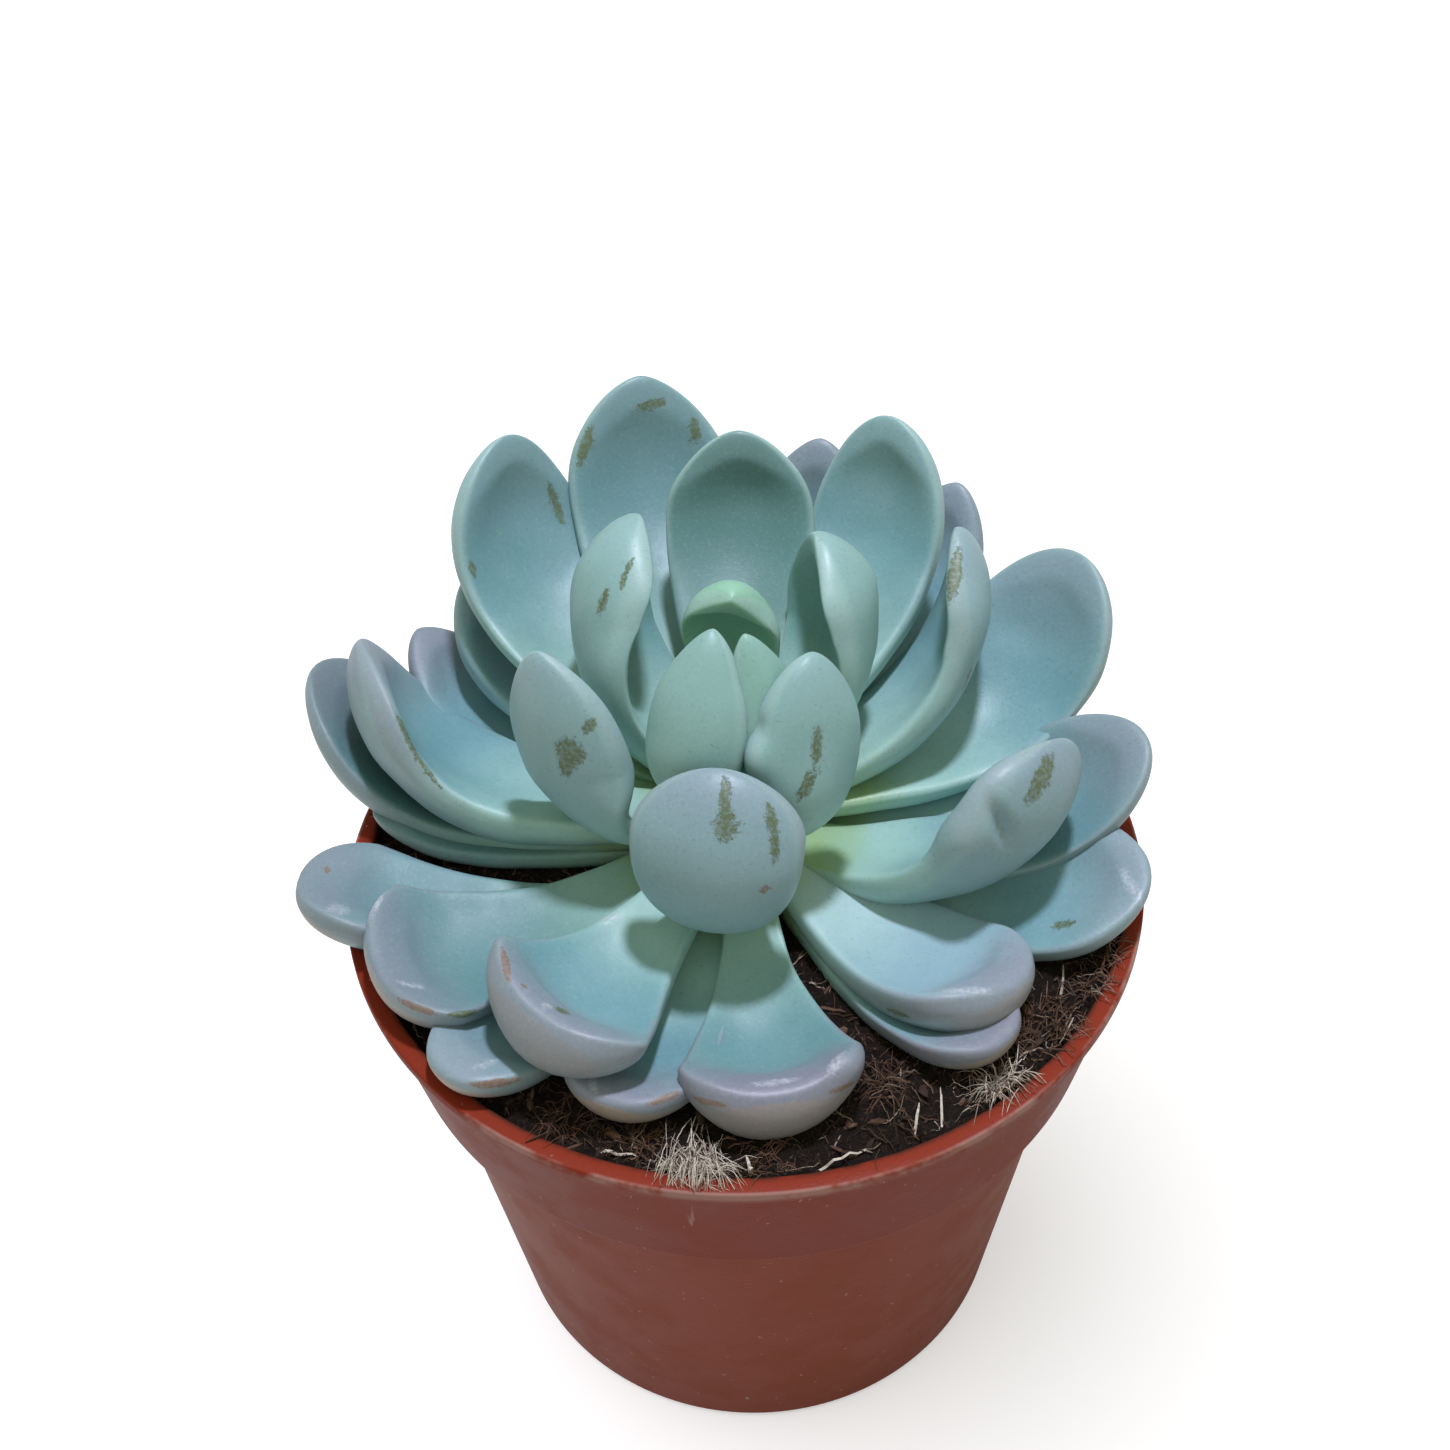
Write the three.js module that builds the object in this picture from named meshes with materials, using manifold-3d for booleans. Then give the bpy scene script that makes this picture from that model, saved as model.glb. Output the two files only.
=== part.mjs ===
// A potted Mexican snowball: a rosette of thick blue-green leaves on a short stem, rooted in peat in a
// terracotta-coloured plastic nursery pot. Millimetres, +Z up, origin at the centre of the pot's foot.
// -Y is the side that the photograph was taken from.
import * as THREE from "three";
import { mergeVertices } from "three/addons/utils/BufferGeometryUtils.js";
import Module from "manifold-3d";

const wasm = await Module();
wasm.setup();

// The pot: a moulded shell with a flared collar under the lip. It stands on a rim and on a flat disc in
// the middle of its floor, and the channel between them is raised and has the drain holes.
const POT_HEIGHT = 93.5;
const LIP_RADIUS = 60;
const LIP_WIDTH = 2.8;
const LIP_DEPTH = 2;
const LIP_ROUNDING = 0.4;
const COLLAR_TOP_RADIUS = 59;
const COLLAR_FOOT_RADIUS = 55.1;
const COLLAR_FOOT_HEIGHT = 69.3;
const COLLAR_STEP = 1.2;
const BODY_TOP_RADIUS = 51.8;
const FOOT_RADIUS = 43;
const FOOT_ROUNDING = 1.5;
const FOOT_CORNER = 0.3;
const FOOT_RIM_WIDTH = 3;
const FOOT_DISC_RADIUS = 16;
const CHANNEL_RISE = 2.5;
const CHANNEL_SLOPE = 1.5;
const WALL = 1.3;
const POT_SIDES = 48;
const DRAIN_COUNT = 8;
const DRAIN_RADIUS = 3.2;
const DRAIN_CIRCLE = 28;
const DRAIN_SIDES = 12;
const DRAIN_CUT = 5;

// The soil: a peat plug that fills the pot to just under the lip, with a rough top.
const SOIL_EDGE_HEIGHT = 91.4;
const SOIL_CROWN = 1.2;
const SOIL_ROUGHNESS = 0.5;
const SOIL_RINGS = 4;
// The waves of its top: how fast each one runs along X and along Y, in radians a millimetre, and its start.
const SOIL_WAVES = [
  [0.61, 0.23, 0],
  [-0.31, 0.57, 1],
  [0.9, 0.9, 0],
];

// The stem: a short fleshy column that carries every leaf and narrows to the growing point.
const STEM_FOOT_HEIGHT = 70;
const STEM_RADIUS = 6.5;
const STEM_SHOULDER_HEIGHT = 102;
const STEM_TOP_HEIGHT = 112;
const STEM_TOP_RADIUS = 2.5;
const STEM_SIDES = 24;

// The clearance that touching pieces keep from each other.
const CLEARANCE = 0.3;
// How far the joins and cuts may be smoothed to spare needless triangles.
const SMOOTHING = 0.12;

// A leaf's midline starts inside the stem, whose shape is then cut from the leaf. Its sections crowd
// towards the point, where it narrows fastest, and it is drawn out a little from POINT_FROM on.
const ROOT_RADIUS = 3.5;
const TANGENT_STEP = 0.01;
const LEAF_SIDES = 12;
const LEAF_SECTIONS = 9;
const SECTION_CROWDING = 1.6;
const POINT_LENGTH = 0.8;
const POINT_FROM = 0.88;

// How every leaf is shaped. Its thickness starts as ROOT_THICKNESS of the whole, and is full from
// FULL_FROM of its length.
const ROOT_THICKNESS = 0.5;
const FULL_FROM = 0.6;
const END_FALL = 2.6;
const END_BLUNT = 0.55;
// The hollow of the upper face closes over DISH_CLOSING of the length, and DISH_BOW sooner at its sides,
// so that its edge runs round like the leaf's end.
const DISH_CLOSING = 0.16;
const DISH_BOW = 0.1;
const DISH_WALL = 1.3;
// The part of the thickness above the midline, how square the shoulders of both faces are, and the
// share of the lift at the edges that the middle sinks by.
const UPPER_SHARE = 0.42;
const UPPER_SHOULDER = 0.62;
const UNDER_SHOULDER = 0.85;
const CUP_SINK = 0.4;
// The share of the length by which a leaf has taken its whole roll.
const ROLLED_BY = 2 / 3;

// The outlines that a leaf takes. peak is the share of its length at which it is widest, neck its width
// at the root as a share of the greatest, rise how late it widens, flare how much of that comes as a
// sudden spread before the end, fall the power by which it narrows past the peak, and blunt how square
// its end is (less is squarer, and 1 gives straight shoulders and an obtuse point).
const OUTLINES = {
  heart: { peak: 0.64, neck: 0.32, rise: 1.2, flare: 0, fall: 2.4, blunt: 0.7 },
  cowl: { peak: 0.68, neck: 0.32, rise: 1.2, flare: 0, fall: 2.2, blunt: 0.72 },
  fold: { peak: 0.74, neck: 0.32, rise: 1.3, flare: 0, fall: 2.4, blunt: 0.6 },
  hood: { peak: 0.7, neck: 0.32, rise: 1.2, flare: 0, fall: 2.6, blunt: 0.64 },
  shield: { peak: 0.82, neck: 0.3, rise: 1.5, flare: 0, fall: 2.4, blunt: 0.56 },
  blade: { peak: 0.76, neck: 0.32, rise: 1.3, flare: 0, fall: 2.4, blunt: 0.62 },
  spoon: { peak: 0.71, neck: 0.32, rise: 1.3, flare: 0, fall: 2.6, blunt: 0.52 },
  scoop: { peak: 0.78, neck: 0.3, rise: 1.5, flare: 0, fall: 2.4, blunt: 0.5 },
  ladle: { peak: 0.82, neck: 0.3, rise: 1.6, flare: 0, fall: 2.2, blunt: 0.42 },
  paddle: { peak: 0.87, neck: 0.3, rise: 3, flare: 0.5, fall: 2.2, blunt: 0.42 },
};
// The bodies that go with them. full is the share of the length up to which the leaf is fully thick,
// crest where the hollow of its upper face has closed, brim how narrow the rim beside the hollow is,
// dish how deep the hollow is as a share of the thickness above the midline, cup how far the edges are
// lifted, and bend the length of the midline's handles as a share of the straight distance.
const BODIES = {
  heart: { full: 0.72, crest: 0.94, brim: 2, dish: 0.4, cup: 0.12, bend: 0.6 },
  cowl: { full: 0.8, crest: 0.94, brim: 1.7, dish: 1.1, cup: 0.3, bend: 0.42 },
  fold: { full: 0.72, crest: 0.96, brim: 1.6, dish: 0.8, cup: 0.5, bend: 0.42 },
  hood: { full: 0.72, crest: 0.94, brim: 2, dish: 0.4, cup: 0.12, bend: 0.64 },
  shield: { full: 0.72, crest: 0.94, brim: 2, dish: 0.4, cup: 0.12, bend: 0.8 },
  blade: { full: 0.72, crest: 0.95, brim: 2, dish: 0.65, cup: 0.16, bend: 0.42 },
  spoon: { full: 0.72, crest: 0.96, brim: 2, dish: 0.7, cup: 0.14, bend: 0.42 },
  scoop: { full: 0.72, crest: 0.95, brim: 2, dish: 0.5, cup: 0.24, bend: 0.44 },
  ladle: { full: 0.87, crest: 0.93, brim: 2.4, dish: 0.4, cup: 0.28, bend: 0.4 },
  paddle: { full: 0.88, crest: 0.92, brim: 2.8, dish: 0.45, cup: 0.36, bend: 0.4 },
};

// The leaves, from the heart outwards. azimuth is the way that the leaf points, in degrees round from
// +X; reach and tip are the radius and height of its point; root is the height of its midline in the
// stem; launch and finish are the slopes of the midline at root and point, in degrees above level;
// width and thick are its greatest sizes; roll turns it about its midline, and sway bends it sideways.
const LEAVES = [
  // form, azimuth, reach, tip, root, launch, finish, width, thick, roll, sway
  ["heart", 60, 1.5, 126, 111, 60, 95, 8, 4, 0, 0],
  ["heart", -70, 1.5, 123, 111, 60, 95, 7, 4, 0, 0],
  ["heart", -125, 2.5, 138, 110, 30, 115, 15, 6, 0, -2],
  ["heart", -48, 2, 137.4, 110, 40, 108, 12.5, 5, 0, 0],
  ["cowl", 92, 8, 136.6, 109, 60, 136, 14.5, 6.5, -14, 0],
  ["hood", -58, 8, 135, 108, 15, 105, 17, 7, 0, 7],
  ["hood", -165, 26, 133, 106, -5, 80, 21, 7, 38, -9],
  ["shield", -100, 17, 127, 104, 0, 115, 24, 9, 0, 0],
  ["fold", 147, 26.5, 136.5, 107, 15, 100, 22, 9, 36, -16],
  ["fold", 37, 22.5, 137, 107, 25, 100, 20, 8, -24, 9],
  ["blade", 87.5, 45, 139, 106, 35, 78, 23.5, 8, 0, 0],
  ["blade", 24, 42, 132, 105, -2, 95, 22, 8, -35, 11],
  ["scoop", 175, 59, 118, 103, -5, 67, 25, 9.5, 21, -19],
  ["spoon", 56, 56, 137, 104, 22, 75, 22, 8, 0, 7],
  ["spoon", 136, 61, 135, 104, 22, 78, 25, 8, 0, -14],
  ["scoop", -24, 43, 119.2, 99.5, -15, 80, 26, 9, -28, 13],
  ["scoop", 18, 60.5, 122.5, 102, 0, 65, 25, 8, 20, 15],
  ["blade", 106, 66, 137, 103, 24, 68, 27, 8, 0, -5],
  ["scoop", -3, 59.5, 110, 97.5, -8, 45, 22, 8, 18, 8],
  ["paddle", -125, 49.5, 107, 101, -5, 50, 27, 9.5, -9, 0],
  ["ladle", -50, 49, 100.5, 99, -5, 34, 23, 9, -9, 6],
  ["paddle", -88, 50, 99.5, 99, -5, 40, 25, 9.5, 2, 1],
  ["paddle", -154, 58, 100, 98.3, -4, 30, 27, 8, -2, 0],
  ["scoop", 168, 70, 110, 98.5, -2, 53, 25.5, 8.5, 4, -14],
  ["scoop", -18, 59.5, 101.5, 97, 0, 32, 24, 8, 14, 4],
  ["blade", 139, 60, 115, 102, 5, 50, 18, 8, 0, -5],
  ["blade", 76, 66, 124, 102, 12, 60, 20, 8, 0, 0],
  ["blade", 55, 66, 121, 101, 12, 60, 18, 8, 0, 0],
  ["blade", 148, 63, 108.5, 99, 0, 45, 18, 8, 0, -5],
  ["paddle", -158, 63.5, 100.5, 93.5, -5, 28, 20, 7.5, 0, -16],
  ["blade", 171, 57, 97, 95, 0, 12, 14, 6, 0, 0],
  ["ladle", -112, 51.5, 97.5, 95, 0, 27, 21, 7, 0, 0],
  ["ladle", -52, 52.5, 97, 94, 0, 24, 18, 7, 0, 2],
  ["ladle", -135, 59, 97.5, 94, 0, 24, 18, 7, 0, 0],
  ["blade", 92, 62, 108, 98, 5, 45, 20, 7, 0, 0],
  ["blade", 30, 54, 101, 96, 0, 35, 18, 7, 0, 0],
  ["blade", 122, 62, 106, 96, 0, 40, 20, 7, 0, 0],
  ["blade", 66, 60, 103, 95, 0, 35, 20, 7, 0, 0],
];

const DEGREE = Math.PI / 180;
const WELD = 1e-3;

function clamp(value) {
  return Math.min(1, Math.max(0, value));
}

// A closed three.js geometry as a manifold-3d solid.
function solidOf(geometry) {
  geometry.deleteAttribute("normal");
  geometry.deleteAttribute("uv");
  const merged = mergeVertices(geometry, WELD);
  return new wasm.Manifold(
    new wasm.Mesh({
      numProp: 3,
      vertProperties: merged.attributes.position.array,
      triVerts: new Uint32Array(merged.index.array),
    }),
  );
}

// A geometry from a list of points and a list of triangles.
function geometryOf(points, triangles) {
  const geometry = new THREE.BufferGeometry();
  geometry.setAttribute("position", new THREE.Float32BufferAttribute(points.flat(), 3));
  geometry.setIndex(triangles.flat());
  return geometry;
}

// A solid of revolution about Z from its [radius, height] outline, which runs from the axis at the
// bottom, round the outside, to the axis at the top.
function turned(outline, sides) {
  const profile = outline.map(([radius, height]) => new THREE.Vector2(radius, height));
  const geometry = new THREE.LatheGeometry(profile, sides);
  geometry.rotateX(Math.PI / 2);
  return solidOf(geometry);
}

function largest(solid) {
  return solid.decompose().reduce((best, body) => (body.volume() > best.volume() ? body : best));
}

// Pot

const FLOOR_OUTER_RADIUS = FOOT_RADIUS - FOOT_RIM_WIDTH;
const bodySlope = (BODY_TOP_RADIUS - FOOT_RADIUS) / COLLAR_FOOT_HEIGHT;
const collarSlope = (COLLAR_TOP_RADIUS - COLLAR_FOOT_RADIUS) / (POT_HEIGHT - LIP_DEPTH - COLLAR_FOOT_HEIGHT);

// The pot's outside, from the middle of the floor up to the lip's outer edge.
function potOutside() {
  return [
    [0, 0],
    [FOOT_DISC_RADIUS, 0],
    [FOOT_DISC_RADIUS + CHANNEL_SLOPE, CHANNEL_RISE],
    [FLOOR_OUTER_RADIUS - CHANNEL_SLOPE, CHANNEL_RISE],
    [FLOOR_OUTER_RADIUS, 0],
    [FOOT_RADIUS - FOOT_ROUNDING, 0],
    [FOOT_RADIUS - FOOT_ROUNDING * FOOT_CORNER, FOOT_ROUNDING * FOOT_CORNER],
    [FOOT_RADIUS + bodySlope * FOOT_ROUNDING, FOOT_ROUNDING],
    [BODY_TOP_RADIUS - bodySlope * COLLAR_STEP, COLLAR_FOOT_HEIGHT - COLLAR_STEP],
    [COLLAR_FOOT_RADIUS - collarSlope * COLLAR_STEP, COLLAR_FOOT_HEIGHT],
    [COLLAR_FOOT_RADIUS, COLLAR_FOOT_HEIGHT + COLLAR_STEP / 2],
    [COLLAR_TOP_RADIUS, POT_HEIGHT - LIP_DEPTH],
    [LIP_RADIUS, POT_HEIGHT - LIP_DEPTH],
    [LIP_RADIUS, POT_HEIGHT - LIP_ROUNDING],
    [LIP_RADIUS - LIP_ROUNDING, POT_HEIGHT],
  ];
}

// The pot's inside, from the lip down to the middle of the floor. inset moves it further in.
function potInside(inset) {
  const collarTop = COLLAR_TOP_RADIUS - WALL;
  return [
    [LIP_RADIUS - LIP_WIDTH - inset, POT_HEIGHT],
    [LIP_RADIUS - LIP_WIDTH - inset, POT_HEIGHT - LIP_DEPTH - WALL],
    [collarTop - inset - collarSlope * LIP_DEPTH, POT_HEIGHT - LIP_DEPTH - 2 * WALL],
    [COLLAR_FOOT_RADIUS - WALL - inset, COLLAR_FOOT_HEIGHT + WALL + inset],
    [BODY_TOP_RADIUS - WALL - inset, COLLAR_FOOT_HEIGHT + inset],
    [FLOOR_OUTER_RADIUS - inset, CHANNEL_RISE + WALL + inset],
    [FOOT_DISC_RADIUS - inset, CHANNEL_RISE + WALL + inset],
    [FOOT_DISC_RADIUS - CHANNEL_SLOPE - inset, WALL + inset],
    [0, WALL + inset],
  ];
}

function potSolid() {
  let pot = turned([...potOutside(), ...potInside(0)], POT_SIDES);
  for (let i = 0; i < DRAIN_COUNT; i += 1) {
    const angle = (i / DRAIN_COUNT) * 2 * Math.PI;
    const hole = new THREE.CylinderGeometry(DRAIN_RADIUS, DRAIN_RADIUS, DRAIN_CUT, DRAIN_SIDES);
    hole.rotateX(Math.PI / 2);
    hole.translate(DRAIN_CIRCLE * Math.cos(angle), DRAIN_CIRCLE * Math.sin(angle), CHANNEL_RISE);
    pot = pot.subtract(solidOf(hole));
  }
  return pot;
}

// Soil

// The height of the soil's top at a place, rising to the middle and roughened by a few waves.
function soilHeight(x, y) {
  const share = Math.hypot(x, y) / (LIP_RADIUS - LIP_WIDTH);
  const waves = SOIL_WAVES.map(([alongX, alongY, start]) => Math.sin(x * alongX + y * alongY + start));
  const rough = waves.reduce((sum, wave) => sum + wave, 0) / waves.length;
  return SOIL_EDGE_HEIGHT + SOIL_CROWN * (1 - share * share) + SOIL_ROUGHNESS * rough;
}

// The peat as a solid plug whose sides follow the pot's inside. lift raises its top.
function soilPlug(lift) {
  const wall = potInside(CLEARANCE).slice(2).reverse();
  const rim = LIP_RADIUS - LIP_WIDTH - CLEARANCE;
  const points = [];
  const rings = wall.slice(1).map(([radius, height]) => ({ radius, height }));
  rings.push({ radius: rim, height: POT_HEIGHT - LIP_DEPTH - WALL - CLEARANCE });
  for (let i = 0; i < SOIL_RINGS; i += 1) rings.push({ radius: (rim * (SOIL_RINGS - i)) / SOIL_RINGS });
  for (const { radius, height } of rings) {
    for (let side = 0; side < POT_SIDES; side += 1) {
      const angle = (side / POT_SIDES) * 2 * Math.PI;
      const x = radius * Math.sin(angle);
      const y = radius * Math.cos(angle);
      points.push([x, -y, height ?? soilHeight(x, -y) + lift]);
    }
  }
  const triangles = [];
  for (let ring = 0; ring < rings.length - 1; ring += 1) {
    for (let side = 0; side < POT_SIDES; side += 1) {
      const a = ring * POT_SIDES + side;
      const b = ring * POT_SIDES + ((side + 1) % POT_SIDES);
      triangles.push([a, b, b + POT_SIDES], [a, b + POT_SIDES, a + POT_SIDES]);
    }
  }
  const top = points.push([0, 0, soilHeight(0, 0) + lift]) - 1;
  const bottom = points.push([0, 0, wall[0][1]]) - 1;
  const last = (rings.length - 1) * POT_SIDES;
  for (let side = 0; side < POT_SIDES; side += 1) {
    const next = (side + 1) % POT_SIDES;
    triangles.push([last + side, last + next, top], [next, side, bottom]);
  }
  return solidOf(geometryOf(points, triangles));
}

// Stem

// The stem's shape, larger all round by grow.
function stemSolid(grow) {
  const outline = [
    [0, STEM_FOOT_HEIGHT - grow],
    [STEM_RADIUS + grow, STEM_FOOT_HEIGHT - grow],
    [STEM_RADIUS + grow, STEM_SHOULDER_HEIGHT],
    [STEM_TOP_RADIUS + grow, STEM_TOP_HEIGHT - STEM_TOP_RADIUS / 2],
    [STEM_TOP_RADIUS / 2 + grow, STEM_TOP_HEIGHT + grow],
    [0, STEM_TOP_HEIGHT + grow],
  ];
  return turned(outline, STEM_SIDES);
}

// Leaves

// Half the width at a share of the length, as a share of the greatest.
function widthShare({ peak, neck, rise, flare, fall, blunt }, share) {
  if (share < peak) {
    const way = share / peak;
    const climb = (1 - flare) * Math.sin(way * (Math.PI / 2)) ** rise + flare * way ** rise;
    return neck + (1 - neck) * climb;
  }
  const beyond = (share - peak) / (1 - peak);
  return (1 - beyond ** fall) ** blunt;
}

// The thickness at a share of the length: it fills out from the root and stays full until near the end.
function thicknessShare({ full }, share) {
  const filled = Math.sin(clamp(share / FULL_FROM) * (Math.PI / 2));
  const ended = clamp((share - full) / (1 - full)) ** END_FALL;
  return (ROOT_THICKNESS + (1 - ROOT_THICKNESS) * filled) * (1 - ended) ** END_BLUNT;
}

// How far the hollow of the upper face has opened at a share of the length. It closes before the end,
// which leaves the thick rounded rim that ends the leaf.
function dishShare({ crest }, share, across) {
  const opened = Math.sin(clamp(share / FULL_FROM) * (Math.PI / 2));
  const closed = clamp((share + DISH_BOW * across ** 2 - crest) / DISH_CLOSING + 1);
  return opened * (1 - closed ** 2);
}

// One section of a leaf, as [sideways, upwards] pairs round it, larger all round by grow.
function leafSection(form, width, thick, share, grow) {
  const breadth = widthShare(OUTLINES[form], share);
  const { brim, dish, cup } = BODIES[form];
  const half = (width / 2) * breadth + grow;
  const body = thick * thicknessShare(BODIES[form], share);
  const lift = ((cup * width) / 2) * breadth ** 2;
  const section = [];
  for (let side = 0; side < LEAF_SIDES; side += 1) {
    const angle = (side / LEAF_SIDES) * 2 * Math.PI;
    const across = Math.cos(angle);
    const up = Math.sin(angle);
    const edge = lift * (across * across - CUP_SINK);
    const crown = (UPPER_SHARE * body + grow) * Math.abs(up) ** UPPER_SHOULDER;
    const hollow = dish * UPPER_SHARE * thick * dishShare(BODIES[form], share, across);
    const upper = crown - hollow * (1 - Math.abs(across) ** brim) ** DISH_WALL;
    const under = -((1 - UPPER_SHARE) * body + grow) * Math.abs(up) ** UNDER_SHOULDER;
    section.push([half * across, edge + (up > 0 ? upper : under)]);
  }
  return section;
}

// A whole leaf before anything is cut from it, larger all round by grow.
function leafSolid([form, azimuth, reach, tip, root, launch, finish, width, thick, roll, sway], grow) {
  const up = new THREE.Vector3(0, 0, 1);
  const out = new THREE.Vector3(Math.cos(azimuth * DEGREE), Math.sin(azimuth * DEGREE), 0);
  const sideways = new THREE.Vector3().crossVectors(up, out);
  const place = (radius, height) => out.clone().multiplyScalar(radius).addScaledVector(up, height);
  const slope = (angle) => place(Math.cos(angle * DEGREE), Math.sin(angle * DEGREE));
  const start = place(ROOT_RADIUS, root);
  const end = place(reach, tip);
  const handle = BODIES[form].bend * start.distanceTo(end);
  const plane = new THREE.CubicBezierCurve3(
    start,
    start.clone().addScaledVector(slope(launch), handle),
    end.clone().addScaledVector(slope(finish), -handle),
    end,
  );
  const midline = (share) => plane.getPoint(share).addScaledVector(sideways, sway * share * share);
  const points = [];
  const triangles = [];
  for (let i = 0; i <= LEAF_SECTIONS; i += 1) {
    const share = 1 - (1 - i / LEAF_SECTIONS) ** SECTION_CROWDING;
    const centre = midline(share);
    const before = midline(Math.max(0, share - TANGENT_STEP));
    const forward = midline(Math.min(1, share + TANGENT_STEP)).sub(before).normalize();
    const drawn = clamp((share - POINT_FROM) / (1 - POINT_FROM)) ** 2;
    if (i < LEAF_SECTIONS) centre.addScaledVector(forward, POINT_LENGTH * drawn);
    if (i === LEAF_SECTIONS) {
      points.push(centre.addScaledVector(forward, POINT_LENGTH + grow).toArray());
      break;
    }
    const across = sideways.clone().addScaledVector(forward, -sideways.dot(forward)).normalize();
    across.applyAxisAngle(forward, roll * DEGREE * Math.min(1, share / ROLLED_BY));
    const face = new THREE.Vector3().crossVectors(forward, across);
    for (const [x, y] of leafSection(form, width, thick, share, grow)) {
      points.push(centre.clone().addScaledVector(across, x).addScaledVector(face, y).toArray());
    }
  }
  for (let i = 0; i < LEAF_SECTIONS - 1; i += 1) {
    for (let side = 0; side < LEAF_SIDES; side += 1) {
      const a = i * LEAF_SIDES + side;
      const b = i * LEAF_SIDES + ((side + 1) % LEAF_SIDES);
      triangles.push([a, b, b + LEAF_SIDES], [a, b + LEAF_SIDES, a + LEAF_SIDES]);
    }
  }
  const point = points.length - 1;
  const heel = points.push(start.toArray()) - 1;
  const last = (LEAF_SECTIONS - 1) * LEAF_SIDES;
  for (let side = 0; side < LEAF_SIDES; side += 1) {
    const next = (side + 1) % LEAF_SIDES;
    triangles.push([last + side, last + next, point], [next, side, heel]);
  }
  return solidOf(geometryOf(points, triangles));
}

// A space round the lip that leaves keep out of.
function lipSpace() {
  const inner = LIP_RADIUS - LIP_WIDTH - CLEARANCE;
  const outer = LIP_RADIUS + CLEARANCE;
  const disc = new THREE.CylinderGeometry(outer, outer, 2 * LIP_DEPTH, POT_SIDES);
  const middle = new THREE.CylinderGeometry(inner, inner, 3 * LIP_DEPTH, POT_SIDES);
  const ring = solidOf(disc.rotateX(Math.PI / 2)).subtract(solidOf(middle.rotateX(Math.PI / 2)));
  return ring.translate([0, 0, POT_HEIGHT - LIP_DEPTH + CLEARANCE]);
}

// The leaves in their order, each cut clear of the stem, the soil, the lip and the leaves before it.
function leafSolids() {
  const taken = [stemSolid(CLEARANCE), soilPlug(CLEARANCE), lipSpace()];
  return LEAVES.map((leaf) => {
    let solid = leafSolid(leaf, 0);
    for (const space of taken) solid = solid.subtract(space);
    taken.push(leafSolid(leaf, CLEARANCE));
    return largest(solid.simplify(SMOOTHING));
  });
}

// Assembly

const MATERIALS = {
  pot: { color: 0xa8543a, roughness: 0.5, metalness: 0 },
  soil: { color: 0x33241b, roughness: 1, metalness: 0 },
  stem: { color: 0x8fa67a, roughness: 0.6, metalness: 0 },
  leaf: { color: 0x86a8a2, roughness: 0.6, metalness: 0 },
};

const plant = new THREE.Group();

function addNode(name, slot, solid) {
  const mesh = solid.getMesh();
  const geometry = new THREE.BufferGeometry();
  geometry.setAttribute("position", new THREE.BufferAttribute(mesh.vertProperties, 3));
  geometry.setIndex(new THREE.BufferAttribute(mesh.triVerts, 1));
  const flat = geometry.toNonIndexed();
  flat.computeVertexNormals();
  const node = new THREE.Mesh(flat, new THREE.MeshStandardMaterial(MATERIALS[slot]));
  node.name = name;
  plant.add(node);
}

addNode("pot", "pot", potSolid());
addNode("soil", "soil", soilPlug(0).subtract(stemSolid(CLEARANCE)));
addNode("stem", "stem", stemSolid(0));
leafSolids().forEach((solid, i) => {
  addNode("leaf_" + String(i + 1).padStart(2, "0"), "leaf", solid);
});

export default plant;
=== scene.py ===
# A potted Mexican snowball: a rosette of thick, waxy, blue-green leaves in a terracotta-coloured plastic
# nursery pot filled with peat. Metres, +Z up, origin at the centre of the pot's foot, as in the frame.
import math
import random

import bmesh
import bpy
import numpy as np
from mathutils import Matrix, Vector, noise
from mathutils.bvhtree import BVHTree


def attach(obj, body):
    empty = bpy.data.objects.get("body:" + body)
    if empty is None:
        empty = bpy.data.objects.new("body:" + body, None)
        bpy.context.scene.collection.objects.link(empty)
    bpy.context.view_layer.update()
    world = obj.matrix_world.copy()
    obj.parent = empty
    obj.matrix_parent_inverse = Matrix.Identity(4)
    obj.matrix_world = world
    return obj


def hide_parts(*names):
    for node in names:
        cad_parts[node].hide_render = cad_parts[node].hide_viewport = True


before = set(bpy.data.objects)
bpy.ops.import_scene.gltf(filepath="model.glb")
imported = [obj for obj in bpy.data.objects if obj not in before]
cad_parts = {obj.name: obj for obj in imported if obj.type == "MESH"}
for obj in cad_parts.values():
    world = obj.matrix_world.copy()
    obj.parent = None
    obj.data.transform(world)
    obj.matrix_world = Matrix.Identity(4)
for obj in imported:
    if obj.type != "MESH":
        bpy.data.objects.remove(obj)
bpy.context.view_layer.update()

# Camera. It looks down at the plant from the front, at arm's length, and leans a little to one side.
CAMERA_TARGET = Vector((-0.0019, 0, 0.1203))
CAMERA_DISTANCE = 0.263
CAMERA_ELEVATION = math.radians(43)
CAMERA_LEAN = math.radians(-2.4)
LENS = 45.93
SENSOR = 36
NEAREST_SEEN = 0.01
scene = bpy.context.scene


def add_object(name, data):
    made = bpy.data.objects.new(name, data)
    scene.collection.objects.link(made)
    return made


camera = add_object("camera", bpy.data.cameras.new("camera"))
camera.data.lens = LENS
camera.data.sensor_width = SENSOR
camera.data.clip_start = NEAREST_SEEN
back = Vector((0, -math.cos(CAMERA_ELEVATION), math.sin(CAMERA_ELEVATION)))
place = Matrix.Translation(CAMERA_TARGET + CAMERA_DISTANCE * back)
tilt = Matrix.Rotation(math.pi / 2 - CAMERA_ELEVATION, 4, "X")
camera.matrix_world = place @ tilt @ Matrix.Rotation(CAMERA_LEAN, 4, "Z")
scene.camera = camera
scene.view_settings.view_transform = "Standard"


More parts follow.
